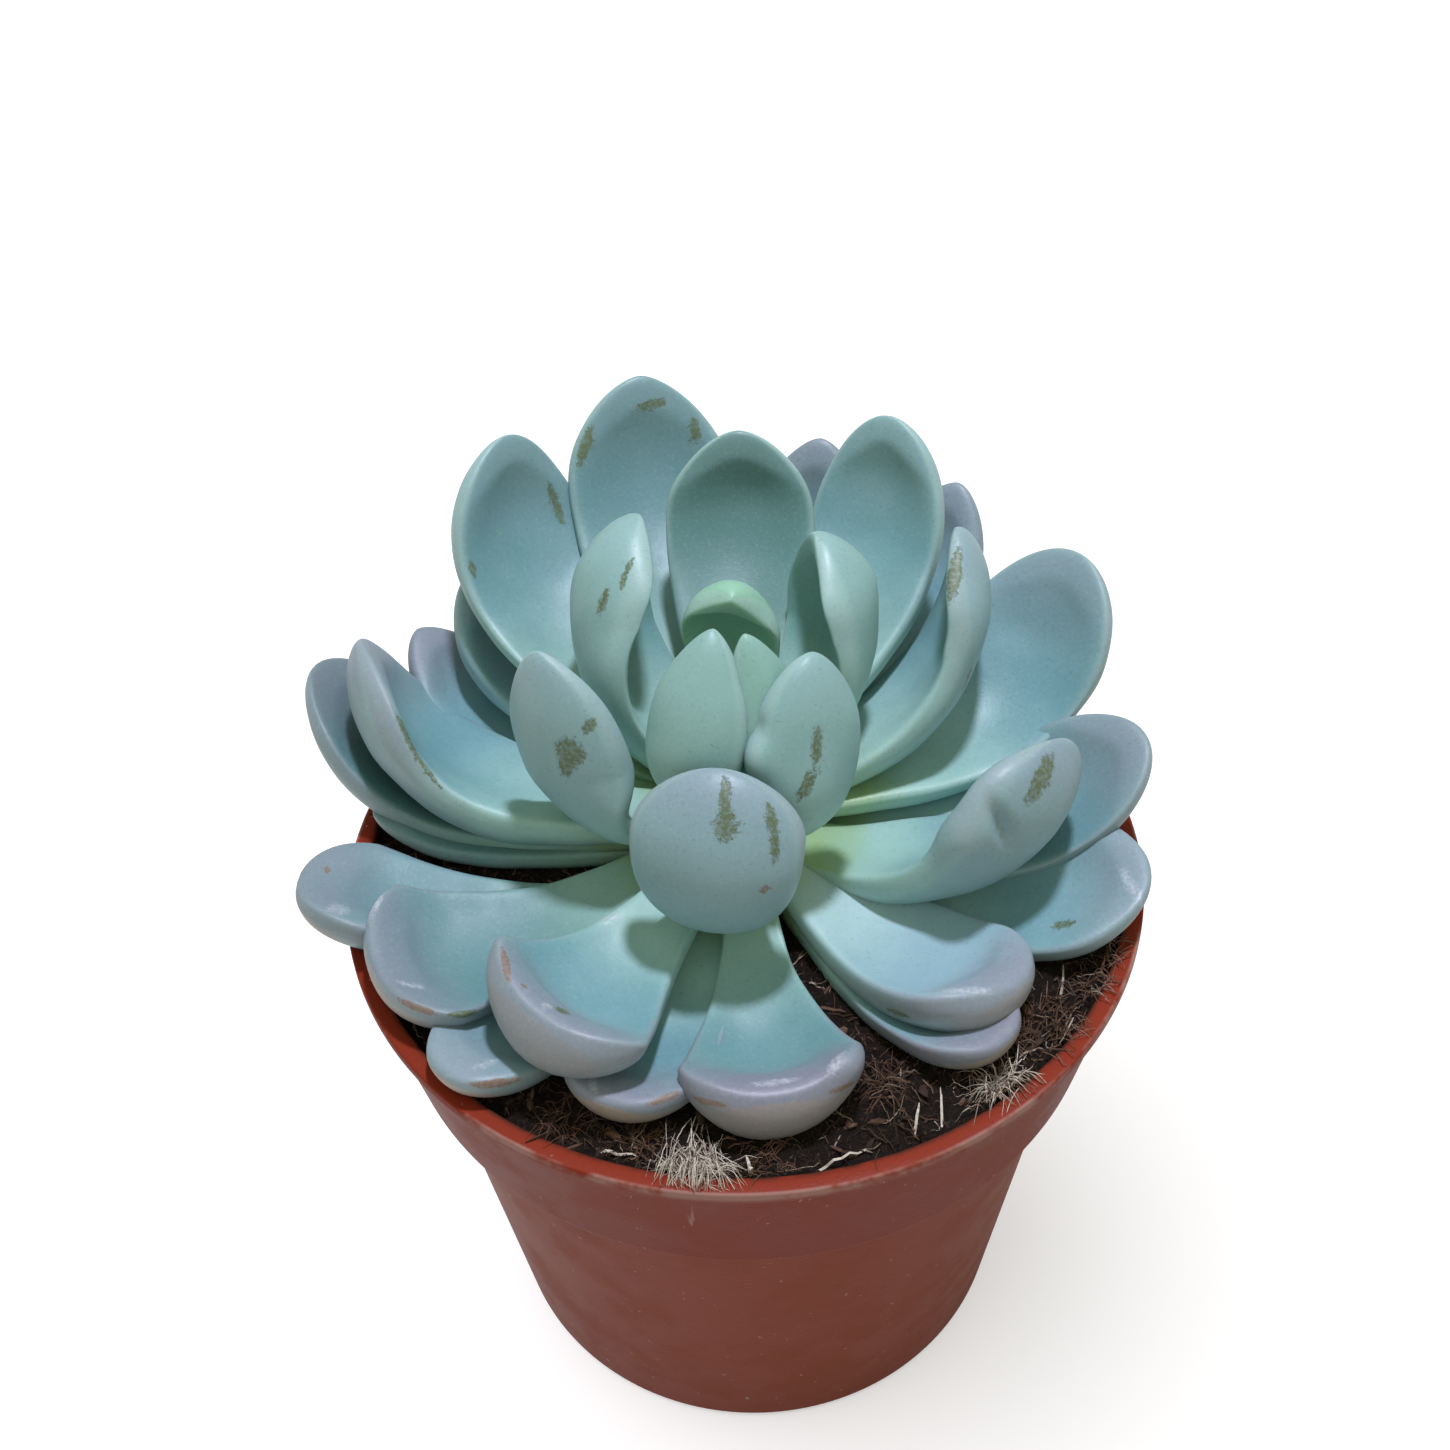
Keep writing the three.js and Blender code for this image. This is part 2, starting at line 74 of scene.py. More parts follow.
# Light. One lamp stands nearly overhead, a little behind and to the right, and gives the crisp shadows
# that the leaves throw on each other. The pale room round it fills them.
LAMP_DIRECTION = Vector((0.1, 0.15, 1)).normalized()
LAMP_DISTANCE = 0.9
LAMP_SIZE = 0.09
LAMP_POWER = 7.4
LAMP_COLOUR = (0.92, 0.94, 1.15)
ROOM_COLOUR = (0.95, 1.0, 0.84)
ROOM_STRENGTH = 0.62


def add_lamp(name, direction, distance, size, power, colour):
    lamp = bpy.data.lights.new(name, "AREA")
    lamp.shape = "DISK"
    lamp.size = size
    lamp.energy = power
    lamp.color = colour
    lamp_object = add_object(name, lamp)
    lamp_object.location = CAMERA_TARGET + distance * direction
    lamp_object.rotation_euler = direction.to_track_quat("Z", "Y").to_euler()
    return lamp_object


overhead_lamp = add_lamp("overhead_lamp", LAMP_DIRECTION, LAMP_DISTANCE, LAMP_SIZE, LAMP_POWER, LAMP_COLOUR)
room = bpy.data.worlds.new("room")
scene.world = room
room.use_nodes = True
room.node_tree.nodes["Background"].inputs["Color"].default_value = (*ROOM_COLOUR, 1)
room.node_tree.nodes["Background"].inputs["Strength"].default_value = ROOM_STRENGTH


# Floor. A plain white surface that the pot stands on. A wide soft lamp of its own lights it, so that it
# only darkens gently round the foot of the pot, and it glows a little to the camera.
FLOOR_HALF = 3.0
FLOOR_COLOUR = (0.78, 0.76, 0.84, 1)
FLOOR_GLOW = 0.42
FLOOR_LAMP_DIRECTION = Vector((-0.4, 0.1, 1)).normalized()
FLOOR_LAMP_DISTANCE = 0.8
FLOOR_LAMP_SIZE = 1.1
FLOOR_LAMP_POWER = 7.0


def mesh_object(name, points, faces):
    mesh = bpy.data.meshes.new(name)
    mesh.from_pydata([tuple(point) for point in points], [], faces)
    mesh.update()
    return add_object(name, mesh)


class Graph:
    """Adds nodes to a node tree and links what they are given."""

    def __init__(self, tree):
        self.tree = tree

    def node(self, kind):
        return self.tree.nodes.new(f"ShaderNode{kind}")

    def link(self, value, socket):
        if isinstance(value, bpy.types.NodeSocket):
            self.tree.links.new(value, socket)
        else:
            socket.default_value = value

    def dress(self, shader, looks):
        """Gives each named socket of the shader its value or its link."""
        for name, value in looks.items():
            self.link(value, shader.inputs[name])

    def math(self, operation, *values):
        node = self.node("Math")
        node.operation = operation
        for value, socket in zip(values, node.inputs):
            self.link(value, socket)
        return node.outputs[0]

    def times(self, first, second):
        return self.math("MULTIPLY", first, second)

    def mix(self, factor, first, second):
        node = self.node("Mix")
        node.data_type = "RGBA"
        self.link(factor, node.inputs["Factor"])
        self.link(first, node.inputs[6])
        self.link(second, node.inputs[7])
        return node.outputs[2]

    def ramp(self, value, low, high, to_low=0.0, to_high=1.0):
        """value from low to high, eased to to_low and to_high."""
        node = self.node("MapRange")
        node.interpolation_type = "SMOOTHSTEP"
        for socket, number in zip(node.inputs, (value, low, high, to_low, to_high)):
            self.link(number, socket)
        return node.outputs[0]

    def position(self):
        return self.node("TexCoord").outputs["Object"]

    def attribute(self, name):
        node = self.node("Attribute")
        node.attribute_name = name
        return node.outputs["Fac"]

    def noise(self, vector, scale, detail=2.0, roughness=0.5, stretch=None):
        if stretch is not None:
            mapping = self.node("Mapping")
            self.link(vector, mapping.inputs["Vector"])
            mapping.inputs["Scale"].default_value = stretch
            vector = mapping.outputs[0]
        node = self.node("TexNoise")
        self.link(vector, node.inputs["Vector"])
        self.link(scale, node.inputs["Scale"])
        node.inputs["Detail"].default_value = detail
        node.inputs["Roughness"].default_value = roughness
        return node.outputs["Fac"]

    def height_and_radius(self, vector):
        """The height of a place and its distance from the axis of the pot."""
        split = self.node("SeparateXYZ")
        self.link(vector, split.inputs[0])
        squares = [self.times(split.outputs[axis], split.outputs[axis]) for axis in "XY"]
        return split.outputs["Z"], self.math("SQRT", self.math("ADD", *squares))

    def patches(self, scale, low, high):
        node = self.node("Group")
        node.node_tree = soft_patches
        for socket, number in zip(node.inputs, (scale, low, high)):
            socket.default_value = number
        return node.outputs["Mask"]

    def bump(self, height, distance):
        node = self.node("Bump")
        node.inputs["Distance"].default_value = distance
        self.link(height, node.inputs["Height"])
        return node.outputs[0]


def new_material(name):
    """A material, the graph of its nodes and its Principled shader."""
    material = bpy.data.materials.new(name)
    material.use_nodes = True
    return material, Graph(material.node_tree), material.node_tree.nodes["Principled BSDF"]


corners = [(-1, -1), (1, -1), (1, 1), (-1, 1)]
floor = mesh_object("floor", [(x * FLOOR_HALF, y * FLOOR_HALF, 0) for x, y in corners], [(0, 1, 2, 3)])
floor_material, graph, shader = new_material("white_floor")
light_path = graph.node("LightPath")
graph.dress(shader, {
    "Base Color": FLOOR_COLOUR,
    "Roughness": 0.9,
    "Specular IOR Level": 0.0,
    "Emission Color": (1, 1, 1, 1),
    "Emission Strength": graph.times(light_path.outputs["Is Camera Ray"], FLOOR_GLOW),
})
floor.data.materials.append(floor_material)

floor_lamp = add_lamp(
    "floor_lamp", FLOOR_LAMP_DIRECTION, FLOOR_LAMP_DISTANCE, FLOOR_LAMP_SIZE, FLOOR_LAMP_POWER, (1, 1, 1)
)
for lamp_object, state in ((floor_lamp, "INCLUDE"), (overhead_lamp, "EXCLUDE")):
    lit = bpy.data.collections.new(f"{lamp_object.name}_{state.lower()}")
    lit.objects.link(floor)
    lit.collection_objects[0].light_linking.link_state = state
    lamp_object.light_linking.receiver_collection = lit


# Pot. An injection-moulded plastic nursery pot: a thin tapered shell with a flared collar, a small step
# under the collar and a narrow lip. It stands on a rim and on a disc in the middle of its floor, and
# the raised channel between them has eight drain holes.
POT_HEIGHT = 0.0935
LIP_RADIUS = 0.06
LIP_WIDTH = 0.0028
LIP_DEPTH = 0.002
LIP_ROUNDING = 0.0004
COLLAR_TOP_RADIUS = 0.059
COLLAR_FOOT_RADIUS = 0.0551
COLLAR_FOOT_HEIGHT = 0.0693
COLLAR_STEP = 0.0012
BODY_TOP_RADIUS = 0.0518
FOOT_RADIUS = 0.043
FOOT_ROUNDING = 0.0015
FOOT_RIM_WIDTH = 0.003
FOOT_DISC_RADIUS = 0.016
BEND_SHARE = 0.45
CHANNEL_RISE = 0.0025
CHANNEL_SLOPE = 0.0015
WALL = 0.0013
DRAIN_COUNT = 8
DRAIN_RADIUS = 0.0032
DRAIN_CIRCLE = 0.028
DRAIN_CUT = 0.005
DRAIN_SIDES = 32
POT_SIDES = 192
POT_GRAIN = 0.00005
POT_COLOUR = (0.2, 0.034, 0.012, 1)
POT_DUSTY_COLOUR = (0.195, 0.04, 0.017, 1)
COLLAR_COLOUR = (0.168, 0.024, 0.01, 1)
INNER_EDGE_DARK = (0.03, 0.014, 0.009, 1)
LIP_COLOUR = (0.205, 0.024, 0.009, 1)
PALE_WEAR_AND_GLINT = (0.42, 0.3, 0.26, 1)

lip_inside = LIP_RADIUS - LIP_WIDTH
lip_foot = POT_HEIGHT - LIP_DEPTH
floor_outer_radius = FOOT_RADIUS - FOOT_RIM_WIDTH
body_slope = (BODY_TOP_RADIUS - FOOT_RADIUS) / COLLAR_FOOT_HEIGHT
collar_slope = (COLLAR_TOP_RADIUS - COLLAR_FOOT_RADIUS) / (lip_foot - COLLAR_FOOT_HEIGHT)


def rounded(outline, bend_radius, steps):
    """The [radius, height] outline with each inner corner eased into a small curve."""
    eased = [Vector(outline[0])]
    for before, corner, after in zip(outline, outline[1:], outline[2:]):
        before, corner, after = Vector(before), Vector(corner), Vector(after)
        reach_back = min(bend_radius, (before - corner).length * BEND_SHARE)
        reach_on = min(bend_radius, (after - corner).length * BEND_SHARE)
        start = corner + (before - corner).normalized() * reach_back
        end = corner + (after - corner).normalized() * reach_on
        for step in range(steps + 1):
            share = step / steps
            eased.append(start.lerp(corner, share).lerp(corner.lerp(end, share), share))
    eased.append(Vector(outline[-1]))
    return eased


def around(radius, angle, height=0):
    """The place at a distance from the pot's axis, an angle round it and a height."""
    return radius * math.cos(angle), radius * math.sin(angle), height


def ring_of(radius, height, sides):
    return [around(radius, 2 * math.pi * side / sides, height) for side in range(sides)]


def ring_solid(name, points, sides):
    """A smooth closed solid from its lowest point, its rings of points and its last point."""
    ring_count = (len(points) - 2) // sides
    faces = []
    for side in range(sides):
        after = (side + 1) % sides
        faces.append((0, 1 + after, 1 + side))
        for ring in range(ring_count - 1):
            a = 1 + ring * sides + side
            b = 1 + ring * sides + after
            faces.append((a, b, b + sides, a + sides))
        last = 1 + (ring_count - 1) * sides
        faces.append((last + side, last + after, len(points) - 1))
    made = mesh_object(name, points, faces)
    made.data.shade_smooth()
    return made


def turned(name, outline, sides):
    """A solid of revolution about Z from its [radius, height] outline, which starts and ends on the axis."""
    points = [(0, 0, outline[0][1])]
    for radius, height in outline[1:-1]:
        points += ring_of(radius, height, sides)
    points.append((0, 0, outline[-1][1]))
    return ring_solid(name, points, sides)


pot_outside = [
    (0, 0),
    (FOOT_DISC_RADIUS, 0),
    (FOOT_DISC_RADIUS + CHANNEL_SLOPE, CHANNEL_RISE),
    (floor_outer_radius - CHANNEL_SLOPE, CHANNEL_RISE),
    (floor_outer_radius, 0),
    (FOOT_RADIUS - FOOT_ROUNDING / 2, 0),
    (FOOT_RADIUS + body_slope * FOOT_ROUNDING, FOOT_ROUNDING),
    (BODY_TOP_RADIUS - body_slope * COLLAR_STEP, COLLAR_FOOT_HEIGHT - COLLAR_STEP),
    (COLLAR_FOOT_RADIUS - collar_slope * COLLAR_STEP, COLLAR_FOOT_HEIGHT),
    (COLLAR_FOOT_RADIUS, COLLAR_FOOT_HEIGHT + COLLAR_STEP / 2),
    (COLLAR_TOP_RADIUS, lip_foot),
    (LIP_RADIUS, lip_foot),
    (LIP_RADIUS, POT_HEIGHT),
]
pot_inside = [
    (lip_inside, POT_HEIGHT),
    (lip_inside, lip_foot - WALL),
    (COLLAR_TOP_RADIUS - WALL - collar_slope * LIP_DEPTH, lip_foot - 2 * WALL),
    (COLLAR_FOOT_RADIUS - WALL, COLLAR_FOOT_HEIGHT + WALL),
    (BODY_TOP_RADIUS - WALL, COLLAR_FOOT_HEIGHT),
    (floor_outer_radius, CHANNEL_RISE + WALL),
    (FOOT_DISC_RADIUS, CHANNEL_RISE + WALL),
    (FOOT_DISC_RADIUS - CHANNEL_SLOPE, WALL),
    (0, WALL),
]
pot = turned("nursery_pot", rounded(pot_outside + pot_inside, LIP_ROUNDING, 3), POT_SIDES)


def cut(target, tools):
    """Cuts the tools out of the target with one Boolean and removes them."""
    for tool in tools:
        modifier = target.modifiers.new("cut", "BOOLEAN")
        modifier.object = tool
        modifier.operation = "DIFFERENCE"
        modifier.solver = "EXACT"
    depsgraph = bpy.context.evaluated_depsgraph_get()
    result = bpy.data.meshes.new_from_object(target.evaluated_get(depsgraph))
    target.modifiers.clear()
    target.data = result
    for tool in tools:
        bpy.data.objects.remove(tool)


drain_outline = [(0, 0), (DRAIN_RADIUS, 0), (DRAIN_RADIUS, DRAIN_CUT), (0, DRAIN_CUT)]
drains = []
for drain_place in ring_of(DRAIN_CIRCLE, 0, DRAIN_COUNT):
    drain = turned("drain", drain_outline, DRAIN_SIDES)
    drain.location = drain_place
    drains.append(drain)
cut(pot, drains)

# Soft cloudy patches, which tint the plastic, the stem and the leaves.
soft_patches = bpy.data.node_groups.new("soft_patches", "ShaderNodeTree")
for socket_name, value in (("Scale", 60.0), ("Low", 0.3), ("High", 0.7)):
    socket = soft_patches.interface.new_socket(socket_name, in_out="INPUT", socket_type="NodeSocketFloat")
    socket.default_value = value
soft_patches.interface.new_socket("Mask", in_out="OUTPUT", socket_type="NodeSocketFloat")
inside = Graph(soft_patches)
given = soft_patches.nodes.new("NodeGroupInput").outputs
cloud = inside.noise(inside.position(), given["Scale"], 4, 0.6)
mask = inside.ramp(cloud, given["Low"], given["High"])
inside.link(mask, soft_patches.nodes.new("NodeGroupOutput").inputs["Mask"])

pot_material, graph, shader = new_material("terracotta_plastic")
where = graph.position()
height, radius = graph.height_and_radius(where)
dust = graph.patches(60, 0.35, 0.7)
colour = graph.mix(dust, POT_COLOUR, POT_DUSTY_COLOUR)
on_collar = graph.ramp(height, COLLAR_FOOT_HEIGHT - COLLAR_STEP, COLLAR_FOOT_HEIGHT + COLLAR_STEP)
colour = graph.mix(graph.times(on_collar, graph.ramp(dust, 0.0, 1.0, 0.9, 0.5)), colour, COLLAR_COLOUR)
lip = graph.ramp(height, lip_foot, POT_HEIGHT - LIP_DEPTH / 4)
inner_band = graph.ramp(radius, lip_inside, LIP_RADIUS - LIP_WIDTH * 0.8, 1.0, 0.0)
colour = graph.mix(graph.times(lip, graph.math("SUBTRACT", 1.0, inner_band)), colour, LIP_COLOUR)
# The lip's rounded outer edge is painted pale in places, partly scuffs and partly a painted highlight
# along the edge, and the body has a few fine upright scratches.
at_edge = graph.ramp(radius, LIP_RADIUS - LIP_ROUNDING * 1.6, LIP_RADIUS - LIP_ROUNDING * 0.4)
glints_and_scuffs = graph.times(at_edge, graph.ramp(graph.noise(where, 45, 5, 0.7), 0.46, 0.6))
glints_and_scuffs = graph.times(glints_and_scuffs, graph.ramp(height, lip_foot, POT_HEIGHT - LIP_DEPTH / 3))
scratch = graph.ramp(graph.noise(where, 500, 2, 0.5, stretch=(1, 1, 0.07)), 0.70, 0.76)
scratch = graph.times(scratch, graph.ramp(graph.noise(where, 45, 2, 0.5), 0.52, 0.66))
speck = graph.ramp(graph.noise(where, 900, 1, 0.4), 0.74, 0.80)
mark_strength = graph.math("MAXIMUM", graph.times(glints_and_scuffs, 0.48), graph.times(scratch, 0.35))
mark_strength = graph.math("MAXIMUM", mark_strength, graph.times(speck, 0.5))
colour = graph.mix(mark_strength, colour, PALE_WEAR_AND_GLINT)
# The inner edge of the lip and the wall just under it are darker in patches.
inner_edge_dark = graph.ramp(radius, lip_inside, LIP_RADIUS - LIP_WIDTH * 0.62, 1.0, 0.0)
inner_edge_dark = graph.times(inner_edge_dark, graph.ramp(height, POT_HEIGHT - 3 * LIP_DEPTH, lip_foot))
inner_edge_dark = graph.times(inner_edge_dark, graph.ramp(graph.noise(where, 260, 4, 0.7), 0.35, 0.6, 0.2, 0.9))
colour = graph.mix(inner_edge_dark, colour, INNER_EDGE_DARK)
grain = graph.noise(where, 2200, 2, 0.6)
graph.dress(shader, {
    "Base Color": colour,
    "Roughness": graph.ramp(dust, 0.0, 1.0, 0.40, 0.52),
    "Specular IOR Level": 0.08,
    "Normal": graph.bump(grain, POT_GRAIN),
})
pot.data.materials.clear()
pot.data.materials.append(pot_material)
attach(pot, "root")
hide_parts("pot")


# Soil. Dark fibrous peat, filled in round the plant until it is nearly flush with the lip. Its top is
# crumbly and matted with fine roots, and below it has the pot's form.
SOIL_EDGE_HEIGHT = 0.0914
SOIL_CROWN = 0.0012
SOIL_ROUGHNESS = 0.0005
SOIL_RINGS = 110
SOIL_SIDES = 288
CLEARANCE = 0.0003
SOIL_WAVES = [(610, 230, 0), (-310, 570, 1), (900, 900, 0)]
# how many lumps to the metre, how high
SOIL_LUMPS = [(350, 0.0007), (900, 0.0008), (2400, 0.0005)]
PEAT_RELIEF = 0.0014
PEAT_DARK = (0.016, 0.009, 0.006, 1)
PEAT_BROWN = (0.082, 0.047, 0.032, 1)

soil_rim = lip_inside - CLEARANCE


def soil_height(x, y):
    """The height of the soil's top, rising to the middle and roughened by a few waves."""
    share = math.hypot(x, y) / lip_inside
    waves = [math.sin(x * along_x + y * along_y + start) for along_x, along_y, start in SOIL_WAVES]
    return SOIL_EDGE_HEIGHT + SOIL_CROWN * (1 - share * share) + SOIL_ROUGHNESS * sum(waves) / len(waves)


def soil_top(x, y):
    """The height of the soil's top with its lumps and crumbs."""
    here = Vector((x, y, 0))
    return soil_height(x, y) + sum(noise.noise(here * often) * high for often, high in SOIL_LUMPS)


soil_wall = [
    (FOOT_DISC_RADIUS, CHANNEL_RISE + WALL + CLEARANCE),
    (floor_outer_radius - CLEARANCE, CHANNEL_RISE + WALL + CLEARANCE),
    (BODY_TOP_RADIUS - WALL - CLEARANCE, COLLAR_FOOT_HEIGHT + CLEARANCE),
    (COLLAR_FOOT_RADIUS - WALL - CLEARANCE, COLLAR_FOOT_HEIGHT + WALL + CLEARANCE),
    (COLLAR_TOP_RADIUS - WALL - CLEARANCE - collar_slope * LIP_DEPTH, lip_foot - 2 * WALL),
    (soil_rim, lip_foot - WALL - CLEARANCE),
]
points = [(0, 0, WALL + CLEARANCE)]
for radius, height in soil_wall:
    points += ring_of(radius, height, SOIL_SIDES)
for ring in range(SOIL_RINGS):
    radius = soil_rim * (SOIL_RINGS - ring) / SOIL_RINGS
    points += [(x, y, soil_top(x, y)) for x, y, _ in ring_of(radius, 0, SOIL_SIDES)]
points.append((0, 0, soil_height(0, 0)))
soil = ring_solid("peat", points, SOIL_SIDES)

peat_material, graph, shader = new_material("dark_peat")
where = graph.position()
crumbs = graph.noise(where, 900, 6, 0.8)
strands = [graph.noise(where, 700, 4, 0.7, stretch=stretch) for stretch in ((1, 5, 2), (5, 1, 2), (4, 3, 1))]
streaks = [graph.ramp(strand, 0.53, 0.62) for strand in strands]
matted = graph.math("MAXIMUM", graph.math("MAXIMUM", streaks[0], streaks[1]), streaks[2])
brown = graph.times(matted, graph.ramp(crumbs, 0.42, 0.6, 0.15, 1.0))
crumbs = graph.math("ADD", crumbs, graph.times(matted, 0.25))
graph.dress(shader, {
    "Base Color": graph.mix(brown, PEAT_DARK, PEAT_BROWN),
    "Roughness": 0.95,
    "Specular IOR Level": 0.25,
    "Normal": graph.bump(crumbs, PEAT_RELIEF),
})
soil.data.materials.append(peat_material)
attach(soil, "root")
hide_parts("soil")


# Loose peat. Crumbs, each a small lump with a rough skin, and fibres of root and straw lie on and in
# the peat. The fibres lie singly and in tufts, curl and cross, and some reach over the lip.
PEAT_SEED = 7
CRUMB_COUNT = 1100
CRUMB_SPREAD = 0.985
CRUMB_SMALLEST = 0.00025
CRUMB_USUAL = 0.00055
CRUMB_EXTRA = 0.0007
CRUMB_STANDING = 0.3
CRUMB_LEAN = 0.5
CRUMB_PALEST = 0.36
# length, breadth and height of a crumb, each from least to most
CRUMB_FORMS = [(0.8, 3.2), (0.5, 0.9), (0.4, 0.7)]
FIBRE_SIDES = 3
FIBRE_STEPS = 7
FIBRE_TAPER = 0.7
FIBRE_ARCH = 1.08
FIBRE_STANDING = 0.8
FIBRE_INSET = 0.0006
FIBRE_RELIEF = 0.0002
LIP_REACH = 0.001
LIP_EDGE_GAP = 0.0004
TURN_AT_EDGE = 1.2
TOO_SHORT = 1e-9
TUFT_SPREAD = 2.0
TUFT_DEPTH = 0.0012
TUFT_FINEST = 0.00004
TUFT_THICKEST = 0.00009
TUFT_CURL = 0.03
STRAW_ARCH = 0.12
STRAW_PALENESS = 0.8
FIBRE_DARK = (0.03, 0.016, 0.011, 1)
FIBRE_BROWN = (0.12, 0.062, 0.036, 1)
FIBRE_PALE = (0.62, 0.55, 0.46, 1)


def give(made, name, values):
    """Gives each point of a mesh its value."""
    attribute = made.data.attributes.new(name, "FLOAT", "POINT")
    attribute.data.foreach_set("value", np.array(values, dtype=np.float32))


def add_mesh_part(points, faces, new_points, new_faces):
    """Adds one small part to the lists of a mesh that is made of many."""
    first = len(points)
    points.extend(new_points)
    faces.extend(tuple(first + index for index in face) for face in new_faces)


draw = random.Random(PEAT_SEED)
lump = bpy.data.meshes.new("lump")
builder = bmesh.new()
bmesh.ops.create_icosphere(builder, subdivisions=1, radius=1)
builder.to_mesh(lump)
builder.free()
lump_points = [vertex.co.copy() for vertex in lump.vertices]
lump_faces = [tuple(face.vertices) for face in lump.polygons]
points, faces, pale = [], [], []
for index in range(CRUMB_COUNT):
    radius = soil_rim * math.sqrt(draw.random()) * CRUMB_SPREAD
    angle = draw.uniform(0, 2 * math.pi)
    size = draw.uniform(CRUMB_SMALLEST, CRUMB_USUAL) + CRUMB_EXTRA * draw.random() ** 5
    place = Vector(around(radius, angle))
    place.z = soil_top(place.x, place.y) + size * CRUMB_STANDING
    turn = Matrix.Rotation(draw.uniform(0, 6), 3, "Z")
    turn = turn @ Matrix.Rotation(draw.uniform(-CRUMB_LEAN, CRUMB_LEAN), 3, "Y")
    stretch = Vector([draw.uniform(least, most) for least, most in CRUMB_FORMS])
    shape = [place + size * (turn @ (point * stretch)) * draw.uniform(0.75, 1.1) for point in lump_points]
    add_mesh_part(points, faces, shape, lump_faces)
    pale.extend([CRUMB_PALEST * draw.random() ** 2] * len(shape))

FIBRE_GROUPS = [
    # count, shortest, longest, radius, palest, curl
    (1200, 0.0012, 0.0032, 0.00006, 0.62, 0.4),
    (1100, 0.0015, 0.005, 0.00009, 0.55, 0.16),
    (380, 0.002, 0.006, 0.00013, 0.6, 0.06),
    (24, 0.003, 0.006, 0.00024, 0.8, 0.03),
]
TUFTS = [
    # azimuth, root radius, direction, fan, count, length, palest
    (-99, 0.0532, -84, 44, 110, 0.0078, 1.0),
    (-98.5, 0.0538, 98, 50, 50, 0.0054, 1.0),
    (-98, 0.0556, -80, 180, 90, 0.0056, 1.0),
    (-44, 0.0515, 0, 180, 60, 0.0042, 0.4),
    (-36, 0.0525, 0, 180, 50, 0.0042, 0.42),
    (-53, 0.0545, -58, 180, 130, 0.0055, 0.85),
    (-67.9, 0.046, -10, 180, 80, 0.0046, 0.42),
    (-30, 0.0555, 40, 120, 46, 0.0046, 0.5),
    (-24, 0.056, 20, 120, 40, 0.0042, 0.45),
    (-40, 0.056, 40, 120, 46, 0.0042, 0.45),
    (-107, 0.0525, -100, 180, 70, 0.0042, 0.42),
    (-119, 0.0535, -120, 180, 50, 0.0042, 0.36),
    (-88, 0.054, -60, 180, 40, 0.004, 0.36),
    (166, 0.053, 150, 60, 20, 0.007, 0.6),
]
STRAWS = [
    # azimuth, root radius, direction, length, radius
    (-67.4, 0.0545, 76, 0.005, 0.00025),
    (-63.4, 0.0552, 84, 0.0064, 0.00024),
    (-82.0, 0.0557, 16, 0.008, 0.0002),
    (-91.0, 0.056, 100, 0.003, 0.00035),
    (-112, 0.0552, -14, 0.005, 0.00022),
]


def fibre(place, heading, length, thickness, rise, paleness, curl):
    """A thin curved strand that starts in the peat, rises a little and comes down again."""
    path = []
    stride = length / FIBRE_STEPS
    steady = draw.uniform(-curl, curl)
    for step in range(FIBRE_STEPS + 1):
        over_lip = math.hypot(place.x, place.y) > soil_rim - LIP_REACH
        ground = POT_HEIGHT if over_lip else soil_top(place.x, place.y)
        arch = rise * math.sin(math.pi * min(1, step / FIBRE_STEPS * FIBRE_ARCH))
        path.append(Vector((place.x, place.y, ground + thickness * FIBRE_STANDING + arch)))
        heading += steady + draw.uniform(-curl, curl)
        after = place + stride * Vector((math.cos(heading), math.sin(heading), 0))
        if after.xy.length > LIP_RADIUS - LIP_EDGE_GAP:
            heading += TURN_AT_EDGE
            after = place
        place = after
    ring = []
    for step, spot in enumerate(path):
        ahead = path[min(step + 1, FIBRE_STEPS)] - path[max(step - 1, 0)]
        aside = ahead.cross(Vector((0, 0, 1)))
        aside = aside.normalized() if aside.length > TOO_SHORT else Vector((1, 0, 0))
        above = aside.cross(ahead).normalized() if ahead.length > TOO_SHORT else Vector((0, 0, 1))
        width = thickness * (1 - FIBRE_TAPER * (step / FIBRE_STEPS) ** 3)
        for side in range(FIBRE_SIDES):
            angle = 2 * math.pi * side / FIBRE_SIDES
            ring.append(spot + width * (math.cos(angle) * aside + math.sin(angle) * above))
    sides = [(side, (side + 1) % FIBRE_SIDES) for side in range(FIBRE_SIDES)]
    skin = []
    for step in range(FIBRE_STEPS):
        a = step * FIBRE_SIDES
        skin += [(a + one, a + two, a + FIBRE_SIDES + two, a + FIBRE_SIDES + one) for one, two in sides]
    skin.append(tuple(range(FIBRE_SIDES))[::-1])
    skin.append(tuple(FIBRE_STEPS * FIBRE_SIDES + side for side in range(FIBRE_SIDES)))
    add_mesh_part(points, faces, ring, skin)
    pale.extend([paleness] * len(ring))


for count, shortest, longest, thickness, palest, curl in FIBRE_GROUPS:
    for _ in range(count):
        radius = (soil_rim - FIBRE_INSET) * math.sqrt(draw.uniform(0.1, 1))
        angle = draw.uniform(0, 2 * math.pi)
        place = Vector(around(radius, angle))
        length = draw.uniform(shortest, longest)
        shade = palest * draw.uniform(0.15, 1) ** 2
        fibre(place, draw.uniform(0, 6.3), length, thickness, length * draw.uniform(0, 0.12), shade, curl)
for azimuth, radius, direction, fan, count, length, palest in TUFTS:
    for _ in range(count):
        angle = math.radians(azimuth + draw.gauss(0, TUFT_SPREAD))
        root = radius + draw.gauss(0, TUFT_DEPTH)
        place = Vector(around(root, angle))
        heading = math.radians(direction + draw.uniform(-fan, fan))
        reach = length * draw.uniform(0.5, 1)
        shade = palest * draw.uniform(0.4, 1)
        thickness = draw.uniform(TUFT_FINEST, TUFT_THICKEST)
        fibre(place, heading, reach, thickness, reach * draw.uniform(0.05, 0.4), shade, TUFT_CURL)
